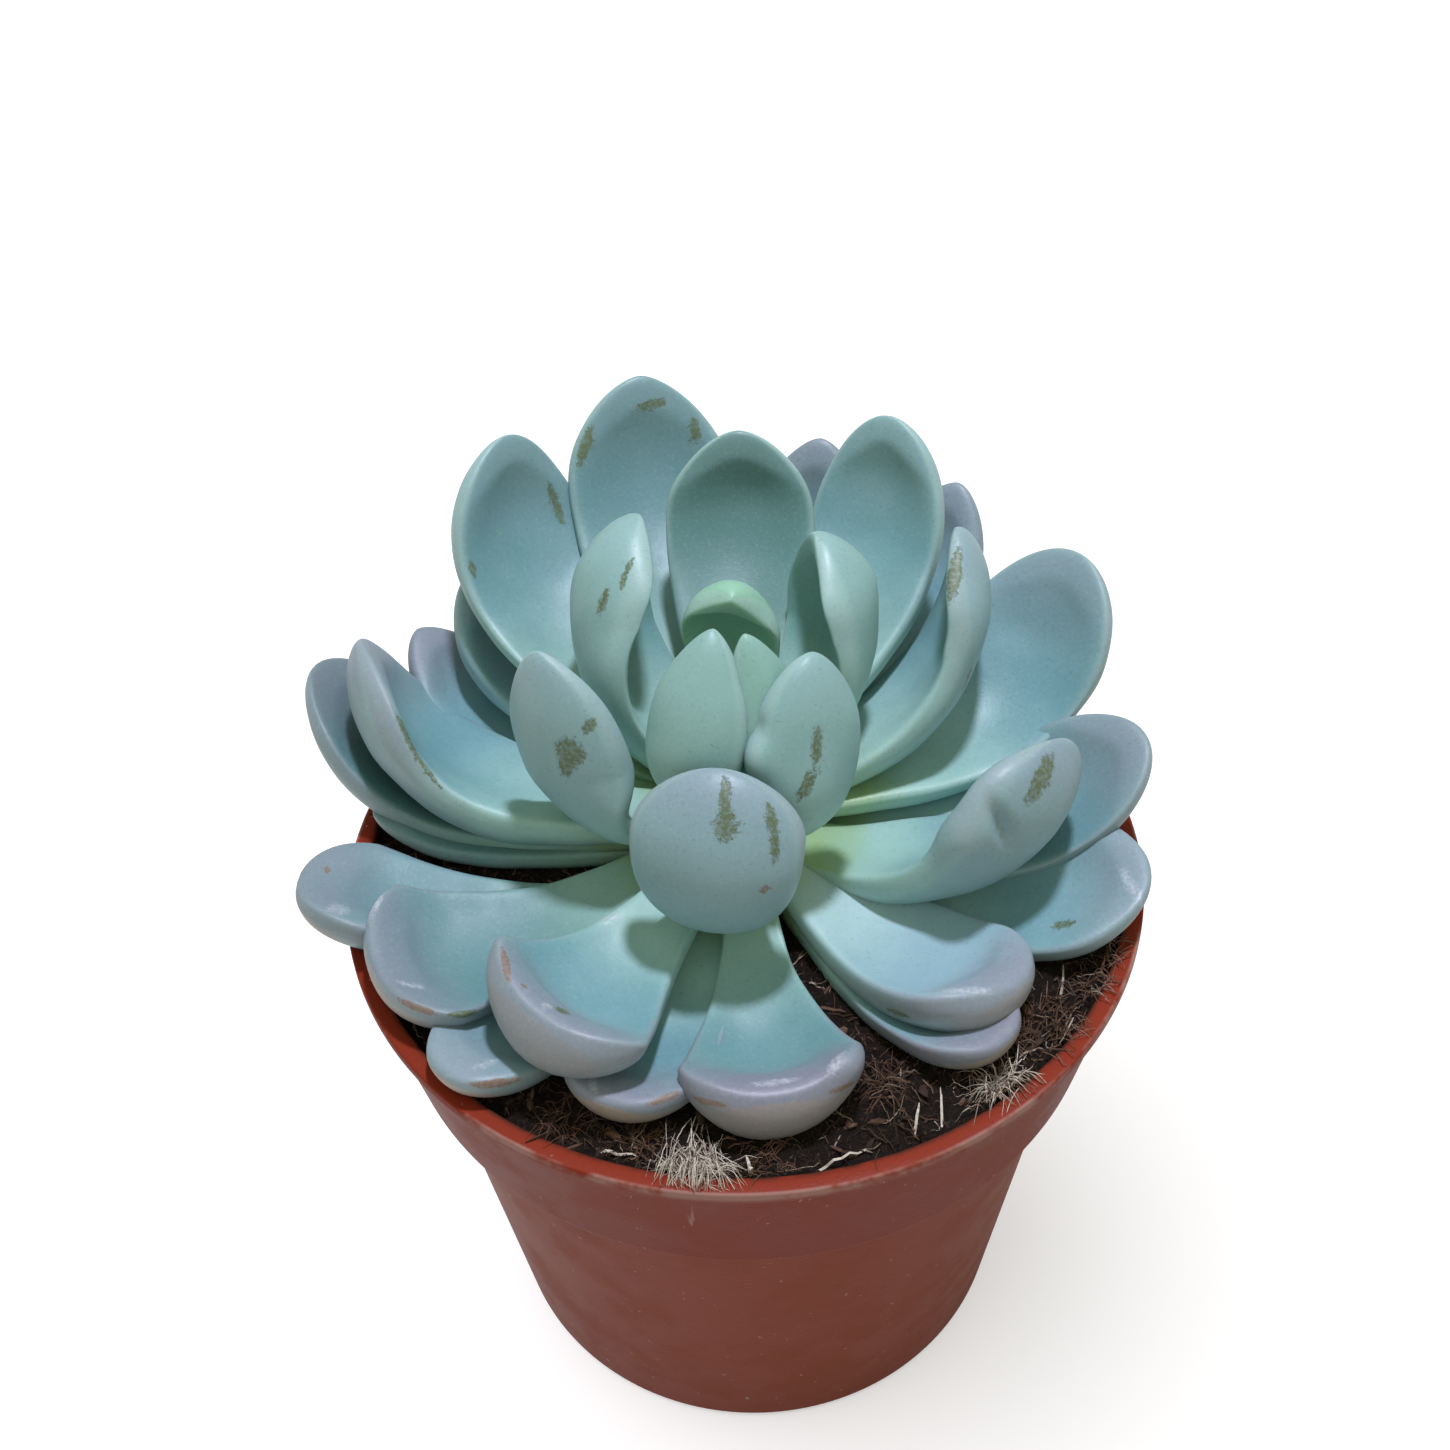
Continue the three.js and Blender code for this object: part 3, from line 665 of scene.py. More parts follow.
for azimuth, radius, direction, length, thickness in STRAWS:
    place = Vector(around(radius, math.radians(azimuth)))
    heading = math.radians(direction)
    fibre(place, heading, length, thickness, length * STRAW_ARCH, STRAW_PALENESS, TUFT_CURL / 2)
fibres = mesh_object("peat_fibres", points, faces)
give(fibres, "fibre_pale", pale)

fibre_material, graph, shader = new_material("peat_fibre")
mottled = graph.noise(graph.position(), 1400, 3, 0.6)
paleness = graph.times(graph.attribute("fibre_pale"), graph.ramp(mottled, 0.2, 0.6, 0.6, 1.15))
colour = graph.mix(graph.ramp(paleness, 0.0, 0.3), FIBRE_DARK, FIBRE_BROWN)
graph.dress(shader, {
    "Base Color": graph.mix(graph.ramp(paleness, 0.3, 0.9), colour, FIBRE_PALE),
    "Roughness": 0.85,
    "Specular IOR Level": 0.3,
    "Normal": graph.bump(mottled, FIBRE_RELIEF),
})
fibres.data.materials.append(fibre_material)
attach(fibres, "root")


# Stem. The short, soft green column that carries every leaf. It stands in the peat, narrows to the
# growing point and is nearly hidden by the leaves.
STEM_FOOT_HEIGHT = 0.07
STEM_RADIUS = 0.0065
STEM_SHOULDER_HEIGHT = 0.102
STEM_TOP_HEIGHT = 0.112
STEM_TOP_RADIUS = 0.0025
STEM_ROUNDING = 0.0008
STEM_SIDES = 64
STEM_COLOUR = (0.3, 0.42, 0.2, 1)
STEM_SHADE = (0.22, 0.34, 0.14, 1)

stem_outline = [
    (0, STEM_FOOT_HEIGHT),
    (STEM_RADIUS, STEM_FOOT_HEIGHT),
    (STEM_RADIUS, STEM_SHOULDER_HEIGHT),
    (STEM_TOP_RADIUS, STEM_TOP_HEIGHT - STEM_TOP_RADIUS / 2),
    (STEM_TOP_RADIUS / 2, STEM_TOP_HEIGHT),
    (0, STEM_TOP_HEIGHT),
]
stem = turned("stem_flesh", rounded(stem_outline, STEM_ROUNDING, 4), STEM_SIDES)
stem_material, graph, shader = new_material("green_stem")
shaded = graph.mix(graph.patches(300, 0.3, 0.7), STEM_COLOUR, STEM_SHADE)
graph.dress(shader, {"Base Color": shaded, "Roughness": 0.55})
stem.data.materials.append(stem_material)
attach(stem, "root")
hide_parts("stem")


# Leaves. Thick, fleshy and stemless, hollowed on the inner face and rounded outside, each ending in a
# small blunt point. They are waxy: a pale bloom covers the green flesh and is rubbed off where a leaf
# has been touched.
ROOT_RADIUS = 0.0035
POINT_LENGTH = 0.0008
TANGENT_STEP = 0.01
LEAF_SIDES = 56
LEAF_SECTIONS = 60
SECTION_CROWDING = 1.6
ROOT_THICKNESS = 0.5
FULL_FROM = 0.6
POINT_FROM = 0.88
END_FALL = 2.6
END_BLUNT = 0.55
DISH_CLOSING = 0.16
DISH_BOW = 0.1
DISH_WALL = 1.3
UPPER_SHARE = 0.42
UPPER_SHOULDER = 0.62
UNDER_SHOULDER = 0.85
CUP_SINK = 0.4
ROLLED_BY = 2 / 3
# peak, neck, rise, flare, fall, blunt
OUTLINES = {
    "heart": (0.64, 0.32, 1.2, 0, 2.4, 0.7),
    "cowl": (0.68, 0.32, 1.2, 0, 2.2, 0.72),
    "fold": (0.74, 0.32, 1.3, 0, 2.4, 0.6),
    "hood": (0.7, 0.32, 1.2, 0, 2.6, 0.64),
    "shield": (0.82, 0.3, 1.5, 0, 2.4, 0.56),
    "blade": (0.76, 0.32, 1.3, 0, 2.4, 0.62),
    "spoon": (0.71, 0.32, 1.3, 0, 2.6, 0.52),
    "scoop": (0.78, 0.3, 1.5, 0, 2.4, 0.5),
    "ladle": (0.82, 0.3, 1.6, 0, 2.2, 0.42),
    "paddle": (0.87, 0.3, 3, 0.5, 2.2, 0.42),
}
# full, crest, brim, dish, cup, bend
BODIES = {
    "heart": (0.72, 0.94, 2, 0.4, 0.12, 0.6),
    "cowl": (0.8, 0.94, 1.7, 1.1, 0.3, 0.42),
    "fold": (0.72, 0.96, 1.6, 0.8, 0.5, 0.42),
    "hood": (0.72, 0.94, 2, 0.4, 0.12, 0.64),
    "shield": (0.72, 0.94, 2, 0.4, 0.12, 0.8),
    "blade": (0.72, 0.95, 2, 0.65, 0.16, 0.42),
    "spoon": (0.72, 0.96, 2, 0.7, 0.14, 0.42),
    "scoop": (0.72, 0.95, 2, 0.5, 0.24, 0.44),
    "ladle": (0.87, 0.93, 2.4, 0.4, 0.28, 0.4),
    "paddle": (0.88, 0.92, 2.8, 0.45, 0.36, 0.4),
}
# form, azimuth, reach, tip, root, launch, finish, width, thick, roll, sway
LEAVES = [
    ("heart", 60, 0.0015, 0.126, 0.111, 60, 95, 0.008, 0.004, 0, 0),
    ("heart", -70, 0.0015, 0.123, 0.111, 60, 95, 0.007, 0.004, 0, 0),
    ("heart", -125, 0.0025, 0.138, 0.11, 30, 115, 0.015, 0.006, 0, -0.002),
    ("heart", -48, 0.002, 0.1374, 0.11, 40, 108, 0.0125, 0.005, 0, 0),
    ("cowl", 92, 0.008, 0.1366, 0.109, 60, 136, 0.0145, 0.0065, -14, 0),
    ("hood", -58, 0.008, 0.135, 0.108, 15, 105, 0.017, 0.007, 0, 0.007),
    ("hood", -165, 0.026, 0.133, 0.106, -5, 80, 0.021, 0.007, 38, -0.009),
    ("shield", -100, 0.017, 0.127, 0.104, 0, 115, 0.024, 0.009, 0, 0),
    ("fold", 147, 0.0265, 0.1365, 0.107, 15, 100, 0.022, 0.009, 36, -0.016),
    ("fold", 37, 0.0225, 0.137, 0.107, 25, 100, 0.02, 0.008, -24, 0.009),
    ("blade", 87.5, 0.045, 0.139, 0.106, 35, 78, 0.0235, 0.008, 0, 0),
    ("blade", 24, 0.042, 0.132, 0.105, -2, 95, 0.022, 0.008, -35, 0.011),
    ("scoop", 175, 0.059, 0.118, 0.103, -5, 67, 0.025, 0.0095, 21, -0.019),
    ("spoon", 56, 0.056, 0.137, 0.104, 22, 75, 0.022, 0.008, 0, 0.007),
    ("spoon", 136, 0.061, 0.135, 0.104, 22, 78, 0.025, 0.008, 0, -0.014),
    ("scoop", -24, 0.043, 0.1192, 0.0995, -15, 80, 0.026, 0.009, -28, 0.013),
    ("scoop", 18, 0.0605, 0.1225, 0.102, 0, 65, 0.025, 0.008, 20, 0.015),
    ("blade", 106, 0.066, 0.137, 0.103, 24, 68, 0.027, 0.008, 0, -0.005),
    ("scoop", -3, 0.0595, 0.11, 0.0975, -8, 45, 0.022, 0.008, 18, 0.008),
    ("paddle", -125, 0.0495, 0.107, 0.101, -5, 50, 0.027, 0.0095, -9, 0),
    ("ladle", -50, 0.049, 0.1005, 0.099, -5, 34, 0.023, 0.009, -9, 0.006),
    ("paddle", -88, 0.05, 0.0995, 0.099, -5, 40, 0.025, 0.0095, 2, 0.001),
    ("paddle", -154, 0.058, 0.1, 0.0983, -4, 30, 0.027, 0.008, -2, 0),
    ("scoop", 168, 0.07, 0.11, 0.0985, -2, 53, 0.0255, 0.0085, 4, -0.014),
    ("scoop", -18, 0.0595, 0.1015, 0.097, 0, 32, 0.024, 0.008, 14, 0.004),
    ("blade", 139, 0.06, 0.115, 0.102, 5, 50, 0.018, 0.008, 0, -0.005),
    ("blade", 76, 0.066, 0.124, 0.102, 12, 60, 0.02, 0.008, 0, 0),
    ("blade", 55, 0.066, 0.121, 0.101, 12, 60, 0.018, 0.008, 0, 0),
    ("blade", 148, 0.063, 0.1085, 0.099, 0, 45, 0.018, 0.008, 0, -0.005),
    ("paddle", -158, 0.0635, 0.1005, 0.0935, -5, 28, 0.02, 0.0075, 0, -0.016),
    ("blade", 171, 0.057, 0.097, 0.095, 0, 12, 0.014, 0.006, 0, 0),
    ("ladle", -112, 0.0515, 0.0975, 0.095, 0, 27, 0.021, 0.007, 0, 0),
    ("ladle", -52, 0.0525, 0.097, 0.094, 0, 24, 0.018, 0.007, 0, 0.002),
    ("ladle", -135, 0.059, 0.0975, 0.094, 0, 24, 0.018, 0.007, 0, 0),
    ("blade", 92, 0.062, 0.108, 0.098, 5, 45, 0.02, 0.007, 0, 0),
    ("blade", 30, 0.054, 0.101, 0.096, 0, 35, 0.018, 0.007, 0, 0),
    ("blade", 122, 0.062, 0.106, 0.096, 0, 40, 0.02, 0.007, 0, 0),
    ("blade", 66, 0.06, 0.103, 0.095, 0, 35, 0.02, 0.007, 0, 0),
]

# The sides round a leaf crowd towards its two margins.
SIDE_ANGLES = np.arange(LEAF_SIDES) / LEAF_SIDES * 2 * math.pi
SIDE_ANGLES = SIDE_ANGLES - np.sin(2 * SIDE_ANGLES) / 4


def curve_through(start, handle_a, handle_b, end, share):
    """A point of the cubic curve from start to end, for an array of shares."""
    rest = 1 - share
    return (
        rest**3 * start[:, None]
        + 3 * rest**2 * share * handle_a[:, None]
        + 3 * rest * share**2 * handle_b[:, None]
        + share**3 * end[:, None]
    ).T


def unit(vectors):
    return vectors / np.linalg.norm(vectors, axis=-1, keepdims=True)


def leaf_surface(leaf):
    """The leaf's points as [section, side, xyz], its point and its heel, and what each point is."""
    name, azimuth, reach, tip, root, launch, finish, width, thick, roll, sway = leaf
    peak, neck, rise, flare, fall, blunt = OUTLINES[name]
    full, crest, brim, dish, cup, bend = BODIES[name]
    azimuth, launch, finish, roll = np.radians([azimuth, launch, finish, roll])
    out = np.array([math.cos(azimuth), math.sin(azimuth), 0])
    up = np.array([0, 0, 1.0])
    sideways = np.cross(up, out)
    start = out * ROOT_RADIUS + up * root
    end = out * reach + up * tip
    handle = bend * np.linalg.norm(end - start)
    first = start + handle * (out * math.cos(launch) + up * math.sin(launch))
    second = end - handle * (out * math.cos(finish) + up * math.sin(finish))

    def midline(share):
        return curve_through(start, first, second, end, share) + sideways * (sway * share**2)[:, None]

    share = 1 - (1 - np.arange(LEAF_SECTIONS) / LEAF_SECTIONS) ** SECTION_CROWDING
    centre = midline(share)
    ahead = midline(np.minimum(1, share + TANGENT_STEP))
    behind = midline(np.maximum(0, share - TANGENT_STEP))
    forward = unit(ahead - behind)
    pointed = np.clip((share - POINT_FROM) / (1 - POINT_FROM), 0, 1) ** 2
    centre += forward * (POINT_LENGTH * pointed)[:, None]
    across = unit(sideways - (forward @ sideways)[:, None] * forward)
    turn = (roll * np.minimum(1, share / ROLLED_BY))[:, None]
    across = across * np.cos(turn) + np.cross(forward, across) * np.sin(turn)
    face = np.cross(forward, across)

    beyond = np.clip((share - peak) / (1 - peak), 0, 1)
    way = np.minimum(share / peak, 1)
    climb = (1 - flare) * np.sin(way * math.pi / 2) ** rise + flare * way**rise
    breadth = np.where(share < peak, neck + (1 - neck) * climb, (1 - beyond**fall) ** blunt)
    filled = np.sin(np.clip(share / FULL_FROM, 0, 1) * math.pi / 2)
    ended = np.clip((share - full) / (1 - full), 0, 1) ** END_FALL
    body = thick * (ROOT_THICKNESS + (1 - ROOT_THICKNESS) * filled) * (1 - ended) ** END_BLUNT
    hollow = dish * UPPER_SHARE * thick * filled
    lift = cup * width / 2 * breadth**2

    x, y = np.cos(SIDE_ANGLES), np.sin(SIDE_ANGLES)
    steep = np.abs(y)
    closed = np.clip((share[:, None] + DISH_BOW * x * x - crest) / DISH_CLOSING + 1, 0, 1)
    sunk = hollow[:, None] * (1 - closed**2) * (1 - np.abs(x) ** brim) ** DISH_WALL
    upper = UPPER_SHARE * body[:, None] * steep**UPPER_SHOULDER - sunk
    under = -(1 - UPPER_SHARE) * body[:, None] * steep**UNDER_SHOULDER
    aside = width / 2 * breadth[:, None] * x
    above = lift[:, None] * (x * x - CUP_SINK) + np.where(y > 0, upper, under)
    surface = centre[:, None] + across[:, None] * aside[..., None] + face[:, None] * above[..., None]
    tip_direction = unit(midline(np.array([1.0])) - midline(np.array([1 - TANGENT_STEP])))
    tip_point = midline(np.array([1.0])) + tip_direction * POINT_LENGTH
    facts = {
        "leaf_along": np.repeat(share, LEAF_SIDES),
        "leaf_across": np.tile(x, LEAF_SECTIONS),
        "leaf_inner": np.tile(y, LEAF_SECTIONS),
    }
    return surface, tip_point[0], start, facts


def distances(surface, share, along, round_it, length, breadth, slant):
    """How far each point is from a place on a leaf, as a share of the half sizes given for it."""
    section = int(np.argmin(np.abs(share - along)))
    side = int(np.argmin(np.abs(np.degrees(SIDE_ANGLES) - round_it)))
    ahead = surface[min(section + 1, LEAF_SECTIONS - 1), side] - surface[section - 1, side]
    aside = surface[section, (side + 1) % LEAF_SIDES] - surface[section, side - 1]
    turn = math.radians(slant)
    axis = math.cos(turn) * unit(ahead) + math.sin(turn) * unit(aside)
    away = surface - surface[section, side]
    lengthways = away @ axis
    sideways = np.linalg.norm(away - lengthways[..., None] * axis, axis=-1)
    return np.hypot(lengthways / length, sideways / breadth)


# Natural unevenness: broad and fine swellings of every leaf's skin, which fade out at its point.
# how many to the metre, how high
SWELLINGS = [(48, 0.0005), (130, 0.00028)]
SWELLING_SHIFT = 7.3
SMOOTH_TIP = 10
# How high the soft keel stands along the underside of each leaf that has one.
KEELS = {3: 0.0012, 4: 0.0008, 6: 0.0005, 7: 0.001, 8: 0.0006, 13: 0.0004, 16: 0.0005}
KEEL_FROM = 0.45
KEEL_SHARPNESS = 1.5
# Lobes, creases and corners that one leaf alone has: where each is, its half sizes, its slant in degrees
# and how far it stands out or is sunk.
LUMPS = {
    # leaf: [along, round, length, breadth, slant, height]
    6: [(0.7, 190, 0.0032, 0.0024, 0, 0.0013), (0.82, 184, 0.0018, 0.0016, 0, -0.0008)],
    16: [
        (0.82, 220, 0.0052, 0.0011, 127, -0.002),
        (0.72, 190, 0.005, 0.0034, 0, 0.0016),
        (0.92, 190, 0.004, 0.003, 0, 0.0006),
    ],
    22: [(0.95, 10, 0.003, 0.0022, 0, 0.0012)],
}


def swollen(surface, share, number):
    """The leaf with its skin raised and sunk a little along its own normals."""
    lengthways = np.gradient(surface, axis=0)
    round_it = np.roll(surface, -1, axis=1) - np.roll(surface, 1, axis=1)
    normals = unit(np.cross(round_it, lengthways) + 1e-12)
    raised = np.zeros(surface.shape[:2])
    for often, high in SWELLINGS:
        places = surface.reshape(-1, 3) * often + number * SWELLING_SHIFT
        raised += high * np.array([noise.noise(place) for place in places]).reshape(raised.shape)
    raised *= (1 - share**SMOOTH_TIP)[:, None]
    across, inner = np.cos(SIDE_ANGLES), np.sin(SIDE_ANGLES)
    rising = np.clip((share - KEEL_FROM) / (1 - KEEL_FROM), 0, 1) * (1 - share**SMOOTH_TIP)
    keel = np.where(inner < 0, (1 - np.abs(across)) ** KEEL_SHARPNESS, 0)
    raised -= KEELS.get(number, 0) * rising[:, None] * keel
    for *place, height in LUMPS.get(number, []):
        raised -= height * np.exp(-(distances(surface, share, *place) ** 2))
    return surface - normals * raised[..., None]


# Where an outer leaf grows hard against a leaf nearer the heart, its flesh gives way: it is pressed in
# by as much as it would otherwise come through the other leaf's inner face.
PRESSED = {25: 19, 30: 23}
PRESS_REACH = 0.003
PRESS_DEPTH = 0.0008
PRESS_FROM = 0.15
PRESS_INSIDE = 0.55


def pressed(surface, inner_leaf):
    """The outer leaf with the points that lie past the inner leaf's hollow moved back under its skin."""
    tree = BVHTree.FromPolygons([tuple(point) for point in inner_leaf.reshape(-1, 3)], leaf_faces[:tip_first])
    moved = surface.reshape(-1, 3).copy()
    for index, point in enumerate(moved):
        nearest, normal, face, distance = tree.find_nearest(Vector(point), PRESS_REACH)
        if nearest is None:
            continue
        section, side = divmod(face, LEAF_SIDES)
        hollow = math.sin(SIDE_ANGLES[side]) > PRESS_INSIDE and section > PRESS_FROM * LEAF_SECTIONS
        if hollow and (Vector(point) - nearest).dot(normal) > -PRESS_DEPTH:
            moved[index] = nearest - normal * PRESS_DEPTH
    return moved.reshape(surface.shape)


# Marks in the bloom. rubbed shows the olive skin and scarred is a healed brown cut. The pale, a little
# shiny marks are partly scuffed wax and partly painted highlights: glints on the ridges, ends and points.
# along runs from root to point, round is in degrees from one margin over the inner face, and length and
# breadth are half sizes.
MARK_EDGE = 1.5
MARKS = {
    # leaf: [kind, along, round, length, breadth, slant]
    6: [("rubbed", 0.76, 258, 0.004, 0.0005, 8), ("rubbed", 0.62, 250, 0.0026, 0.001, 25)],
    7: [
        ("rubbed", 0.79, 298, 0.0024, 0.0021, 0),
        ("rubbed", 0.86, 327, 0.0013, 0.0008, 60),
        ("rubbed", 0.74, 288, 0.0014, 0.0012, 0),
    ],
    8: [
        ("rubbed", 0.955, 280, 0.004, 0.0009, 4),
        ("rubbed", 0.905, 284, 0.002, 0.0017, 0),
        ("rubbed", 0.89, 318, 0.0062, 0.0008, 8),
        ("scarred", 0.72, 308, 0.0006, 0.0005, 0),
    ],
    9: [("rubbed", 0.87, 334, 0.0036, 0.0005, 10), ("rubbed", 0.77, 322, 0.0022, 0.0004, 0)],
    12: [("rubbed", 0.93, 180, 0.0044, 0.0011, 10), ("scarred", 0.62, 225, 0.002, 0.0004, 0)],
    13: [("rubbed", 0.76, 19, 0.0046, 0.0006, 0), ("rubbed", 0.65, 14, 0.004, 0.0004, 4)],
    15: [("rubbed", 0.72, 31, 0.0014, 0.0007, 0), ("rubbed", 0.86, 128, 0.004, 0.0006, 0)],
    16: [("rubbed", 0.945, 236, 0.005, 0.0014, 10)],
    18: [
        ("rubbed", 0.88, 34, 0.0036, 0.0009, 0),
        ("rubbed", 0.955, 104, 0.0008, 0.0028, 0),
        ("rubbed", 0.89, 135, 0.0026, 0.0009, 20),
    ],
    20: [
        ("scarred", 0.965, 150, 0.0034, 0.0005, 0),
        ("scarred", 0.975, 118, 0.0016, 0.00025, 55),
        ("glints_and_scuffs", 0.975, 92, 0.0009, 0.0007, 0),
        ("rubbed", 0.95, 82, 0.0009, 0.0007, 0),
        ("glints_and_scuffs", 0.43, 165, 0.0026, 0.0018, 0),
    ],
    21: [("glints_and_scuffs", 0.95, 140, 0.006, 0.0007, 0), ("rubbed", 0.76, 195, 0.0022, 0.0006, 0)],
    22: [
        ("glints_and_scuffs", 0.97, 92, 0.0008, 0.0036, 0),
        ("scarred", 0.965, 192, 0.004, 0.0004, 0),
        ("scarred", 0.965, 348, 0.0036, 0.0004, 0),
        ("glints_and_scuffs", 0.96, 30, 0.0022, 0.0009, 0),
    ],
    23: [
        ("scarred", 0.965, 5, 0.0046, 0.0005, 0),
        ("glints_and_scuffs", 0.96, 165, 0.0036, 0.0008, 0),
        ("glints_and_scuffs", 0.95, 60, 0.0028, 0.0008, 10),
        ("rubbed", 0.88, 10, 0.004, 0.0006, 0),
    ],
    25: [("rubbed", 0.81, 128, 0.0018, 0.0006, 0), ("glints_and_scuffs", 0.965, 105, 0.001, 0.0036, 0)],
    30: [("glints_and_scuffs", 0.92, 48, 0.0018, 0.0018, 0), ("scarred", 0.96, 110, 0.0006, 0.0005, 0)],
    32: [("glints_and_scuffs", 0.975, 120, 0.002, 0.0007, 0), ("scarred", 0.96, 20, 0.0024, 0.0005, 0)],
    33: [("scarred", 0.94, 60, 0.002, 0.0006, 0)],
    34: [("scarred", 0.95, 5, 0.005, 0.0006, 0), ("glints_and_scuffs", 0.93, 60, 0.0024, 0.0008, 0)],
}


def marked(surface, share, marks):
    """How strongly each kind of mark shows at every point of a leaf's skin."""
    shown = {kind: np.zeros(surface.shape[:2]) for kind in ("rubbed", "scarred", "glints_and_scuffs")}
    for kind, *place in marks:
        strength = np.clip(MARK_EDGE - distances(surface, share, *place), 0, 1)
        shown[kind] = np.maximum(shown[kind], strength)
    return shown


leaf_faces = []
for section in range(LEAF_SECTIONS - 1):
    for side in range(LEAF_SIDES):
        a = section * LEAF_SIDES + side
        b = section * LEAF_SIDES + (side + 1) % LEAF_SIDES
        leaf_faces.append((a, b, b + LEAF_SIDES, a + LEAF_SIDES))
tip_first = len(leaf_faces)
tip_index = LEAF_SECTIONS * LEAF_SIDES
for side in range(LEAF_SIDES):
    after = (side + 1) % LEAF_SIDES
    last = (LEAF_SECTIONS - 1) * LEAF_SIDES
    leaf_faces.append((last + side, last + after, tip_index))
    leaf_faces.append((after, side, tip_index + 1))

OUTER_GREY = (0.235, 0.38, 0.41, 1)
INNER_BLUE = (0.15, 0.31, 0.345, 1)
# INNER_PAINTED_SHADE is the darker green of the painted shade on some inner faces.
INNER_PAINTED_SHADE = (0.055, 0.15, 0.145, 1)
HEART_GREEN = (0.25, 0.5, 0.34, 1)
BASE_PALE = (0.33, 0.53, 0.46, 1)
BASE_GREEN = (0.27, 0.42, 0.2, 1)
LILAC = (0.205, 0.18, 0.24, 1)
UNDER_BEIGE = (0.36, 0.27, 0.21, 1)
PAINTED_RIM_HIGHLIGHT = (0.4, 0.56, 0.52, 1)
BLOOM_PALE = (0.48, 0.6, 0.7, 1)
OLIVE_SKIN = (0.095, 0.125, 0.052, 1)
BROWN_SCAR = (0.2, 0.125, 0.085, 1)
PALE_GLINT_AND_SCUFF = (0.55, 0.57, 0.62, 1)
THIN_BLOOM = (0.1, 0.22, 0.2, 1)
BLOOM_GRAIN = (0.52, 0.64, 0.66, 1)
PORE_DARK = (0.07, 0.14, 0.13, 1)
LEAF_RELIEF = 0.0001
FLESH_GLOW = 0.22
FLESH_DEPTH = 0.003
FLESH_SPREAD = (0.6, 1.0, 0.4)

leaf_material, graph, shader = new_material("waxy_leaf")
where = graph.position()
along = graph.attribute("leaf_along")
across = graph.attribute("leaf_across")
inner = graph.attribute("leaf_inner")
age = graph.attribute("leaf_age")
broad = graph.patches(90, 0.3, 0.7)
fine = graph.noise(where, 420, 3, 0.65)
speck = graph.noise(where, 1700, 2, 0.7)
# The wax: bluer on the inner face and greyer outside, greener in the heart and paler towards the root.
# On young leaves the paleness reaches further out: partly their own pale bases, partly painted light
# that stands for light shining through them.
cloudy = graph.times(graph.patches(150, 0.4, 0.75), 0.3)
uneven_end = graph.math("ADD", along, graph.times(fine, 0.10))
faced = graph.times(graph.ramp(inner, -0.3, 0.6), graph.ramp(uneven_end, 0.76, 1.02, 1.0, 0.2))
faced = graph.math("SUBTRACT", faced, cloudy)
colour = graph.mix(faced, OUTER_GREY, INNER_BLUE)
colour = graph.mix(graph.times(graph.attribute("leaf_green"), 0.9), colour, HEART_GREEN)
uneven = graph.math("ADD", along, graph.times(broad, 0.08))
uneven = graph.math("SUBTRACT", uneven, graph.times(age, 0.12))
colour = graph.mix(graph.ramp(uneven, 0.70, 0.30, 0.0, 0.9), colour, BASE_PALE)
colour = graph.mix(graph.ramp(uneven, 0.30, 0.13), colour, BASE_GREEN)
# Some inner faces are painted darker and deeper green from the middle outwards: painted shade on leaves that
# lie in the shade of others.
painted_shade = graph.times(graph.attribute("leaf_painted_shade"), graph.ramp(inner, -0.1, 0.3))
colour = graph.mix(graph.times(painted_shade, graph.ramp(along, 0.2, 0.5)), colour, INNER_PAINTED_SHADE)
# The bloom is thick and pale on a few leaves.
colour = graph.mix(graph.attribute("leaf_bloom"), colour, BLOOM_PALE)
# The margins of young leaves are painted paler, a painted highlight along their rounded rims, and the margins
# of old ones turn lilac, as their ends do.
edge = graph.ramp(graph.math("ABSOLUTE", across), 0.86, 0.99)
colour = graph.mix(graph.times(edge, graph.ramp(age, 0.7, 0.3, 0.1, 0.45)), colour, PAINTED_RIM_HIGHLIGHT)
end = graph.ramp(uneven_end, 0.82, 1.05)
outside = graph.ramp(inner, 0.1, -0.5)
side = graph.times(edge, graph.ramp(along, 0.45, 0.85))
tinged = graph.math("MAXIMUM", graph.math("MAXIMUM", end, side), graph.times(outside, 0.45))
colour = graph.mix(graph.times(tinged, graph.attribute("leaf_lilac")), colour, LILAC)
beige = graph.times(graph.ramp(inner, -0.15, -0.55), graph.ramp(along, 0.86, 0.96))
beige = graph.times(beige, graph.ramp(age, 0.4, 0.7))
colour = graph.mix(graph.times(beige, 0.75), colour, UNDER_BEIGE)
# Unevenness of the bloom, its fine pale grain and the dark pores under it.
colour = graph.mix(graph.times(broad, 0.14), colour, THIN_BLOOM)
colour = graph.mix(graph.ramp(speck, 0.50, 0.8, 0.0, 0.11), colour, BLOOM_GRAIN)
colour = graph.mix(graph.ramp(speck, 0.40, 0.24, 0.0, 0.35), colour, PORE_DARK)
ragged = graph.noise(where, 1500, 4, 0.8)
ragged = graph.math("SUBTRACT", graph.times(ragged, 2.0), 1.0)


def mark(kind, low, high):
    return graph.ramp(graph.math("ADD", graph.attribute(f"leaf_{kind}"), ragged), low, high)


rubbed = mark("rubbed", 0.35, 0.7)
scarred = mark("scarred", 0.3, 0.6)
glints_and_scuffs = mark("glints_and_scuffs", 0.3, 1.2)
mark_strength = graph.ramp(speck, 0.33, 0.58, 0.5, 0.95)
colour = graph.mix(graph.times(rubbed, mark_strength), colour, OLIVE_SKIN)
colour = graph.mix(graph.times(scarred, mark_strength), colour, BROWN_SCAR)
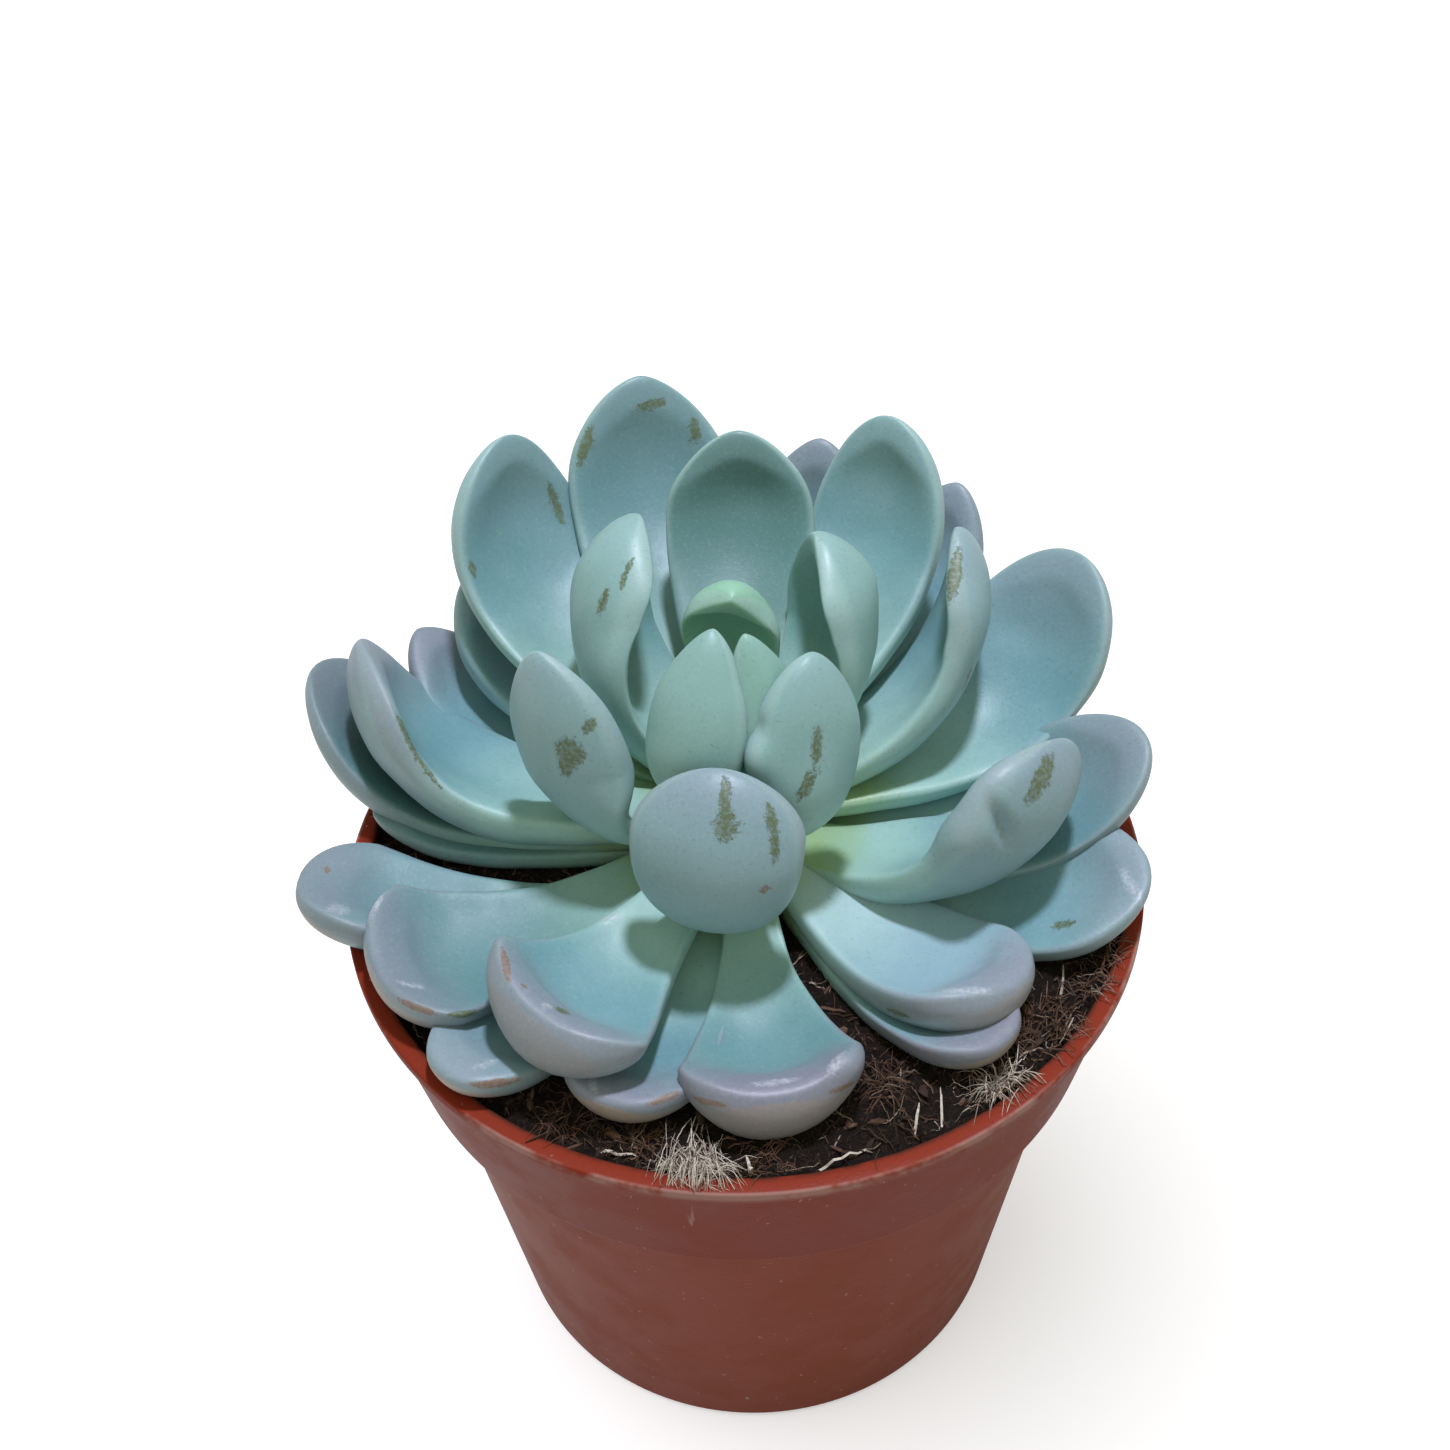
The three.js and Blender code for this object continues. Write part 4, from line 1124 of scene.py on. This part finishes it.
# The pale marks are painted highlights and glints on ridges, ends and points, with some real scuffs among
# them.
glint_and_scuff_grain = graph.times(glints_and_scuffs, graph.ramp(speck, 0.35, 0.6, 0.2, 0.6))
colour = graph.mix(glint_and_scuff_grain, colour, PALE_GLINT_AND_SCUFF)
roughness = graph.ramp(broad, 0.0, 1.0, 0.42, 0.52)
relief = graph.math("ADD", graph.times(speck, 0.4), graph.times(rubbed, -0.5))
graph.dress(shader, {
    "Base Color": colour,
    "Roughness": graph.math("SUBTRACT", roughness, graph.times(glints_and_scuffs, 0.12)),
    "Subsurface Weight": FLESH_GLOW,
    "Subsurface Radius": FLESH_SPREAD,
    "Subsurface Scale": FLESH_DEPTH,
    "Normal": graph.bump(relief, LEAF_RELIEF),
})

# How green each leaf near the heart is.
HEART_TINT = {
    1: 0.9, 2: 0.9, 3: 0.4, 4: 0.6, 5: 1.0, 6: 0.25,
    7: 0.1, 9: 0.25, 10: 0.3, 11: 0.3, 12: 0.1, 14: 0.1,
}
# How strongly painted shade darkens the inner face of each leaf that lies in the shade of others.
PAINTED_SHADE_TINT = {
    9: 0.2, 11: 0.68, 14: 0.1, 15: 0.3, 18: 0.45, 19: 0.2, 20: 0.06,
    22: 0.28, 23: 0.45, 24: 0.8, 27: 0.3, 30: 0.3, 31: 0.5,
}
# How pale the few leaves with a thick bloom are.
BLOOM_TINT = {7: 0.05, 12: 0.06, 21: 0.32}
# How lilac the end, the margins and the outside of each leaf are, where it isn't the usual amount.
LILAC_USUAL = 0.12
LILAC_TINT = {
    7: 0.25, 8: 0.4, 12: 0.3, 13: 0.6, 16: 0.4, 17: 0.35, 19: 0.5, 20: 0.7, 21: 0.7, 22: 0.85,
    23: 0.6, 24: 0.5, 25: 0.5, 27: 0.6, 28: 0.6, 29: 0.8, 30: 0.6, 32: 0.8, 33: 0.9, 34: 0.5,
}
# The leaves stand a little closer together than they are listed, so that they stay within the part.
LEAF_SPREAD = 0.994
surfaces = {}
for number, leaf in enumerate(LEAVES, 1):
    surface, tip_point, heel, facts = leaf_surface(leaf)
    share = facts["leaf_along"][::LEAF_SIDES]
    surface = swollen(surface, share, number)
    if number in PRESSED:
        surface = pressed(surface, surfaces[PRESSED[number]])
    surfaces[number] = surface
    for kind, shown in marked(surface, share, MARKS.get(number, [])).items():
        facts[f"leaf_{kind}"] = shown.ravel()
    points = np.vstack([surface.reshape(-1, 3), tip_point, heel])
    points[:, :2] *= LEAF_SPREAD
    name = f"leaf_{number:02d}"
    blade = mesh_object(f"waxy_{name}", points, leaf_faces)
    blade.data.shade_smooth()
    tints = {
        "leaf_age": (number - 1) / (len(LEAVES) - 1),
        "leaf_green": HEART_TINT.get(number, 0),
        "leaf_painted_shade": PAINTED_SHADE_TINT.get(number, 0),
        "leaf_bloom": BLOOM_TINT.get(number, 0),
        "leaf_lilac": LILAC_TINT.get(number, LILAC_USUAL),
    }
    facts.update({fact: np.full(len(points) - 2, tint) for fact, tint in tints.items()})
    for fact, values in facts.items():
        give(blade, fact, np.append(values, (values[-1], values[0])))
    blade.data.materials.append(leaf_material)
    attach(blade, "root")
    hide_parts(name)
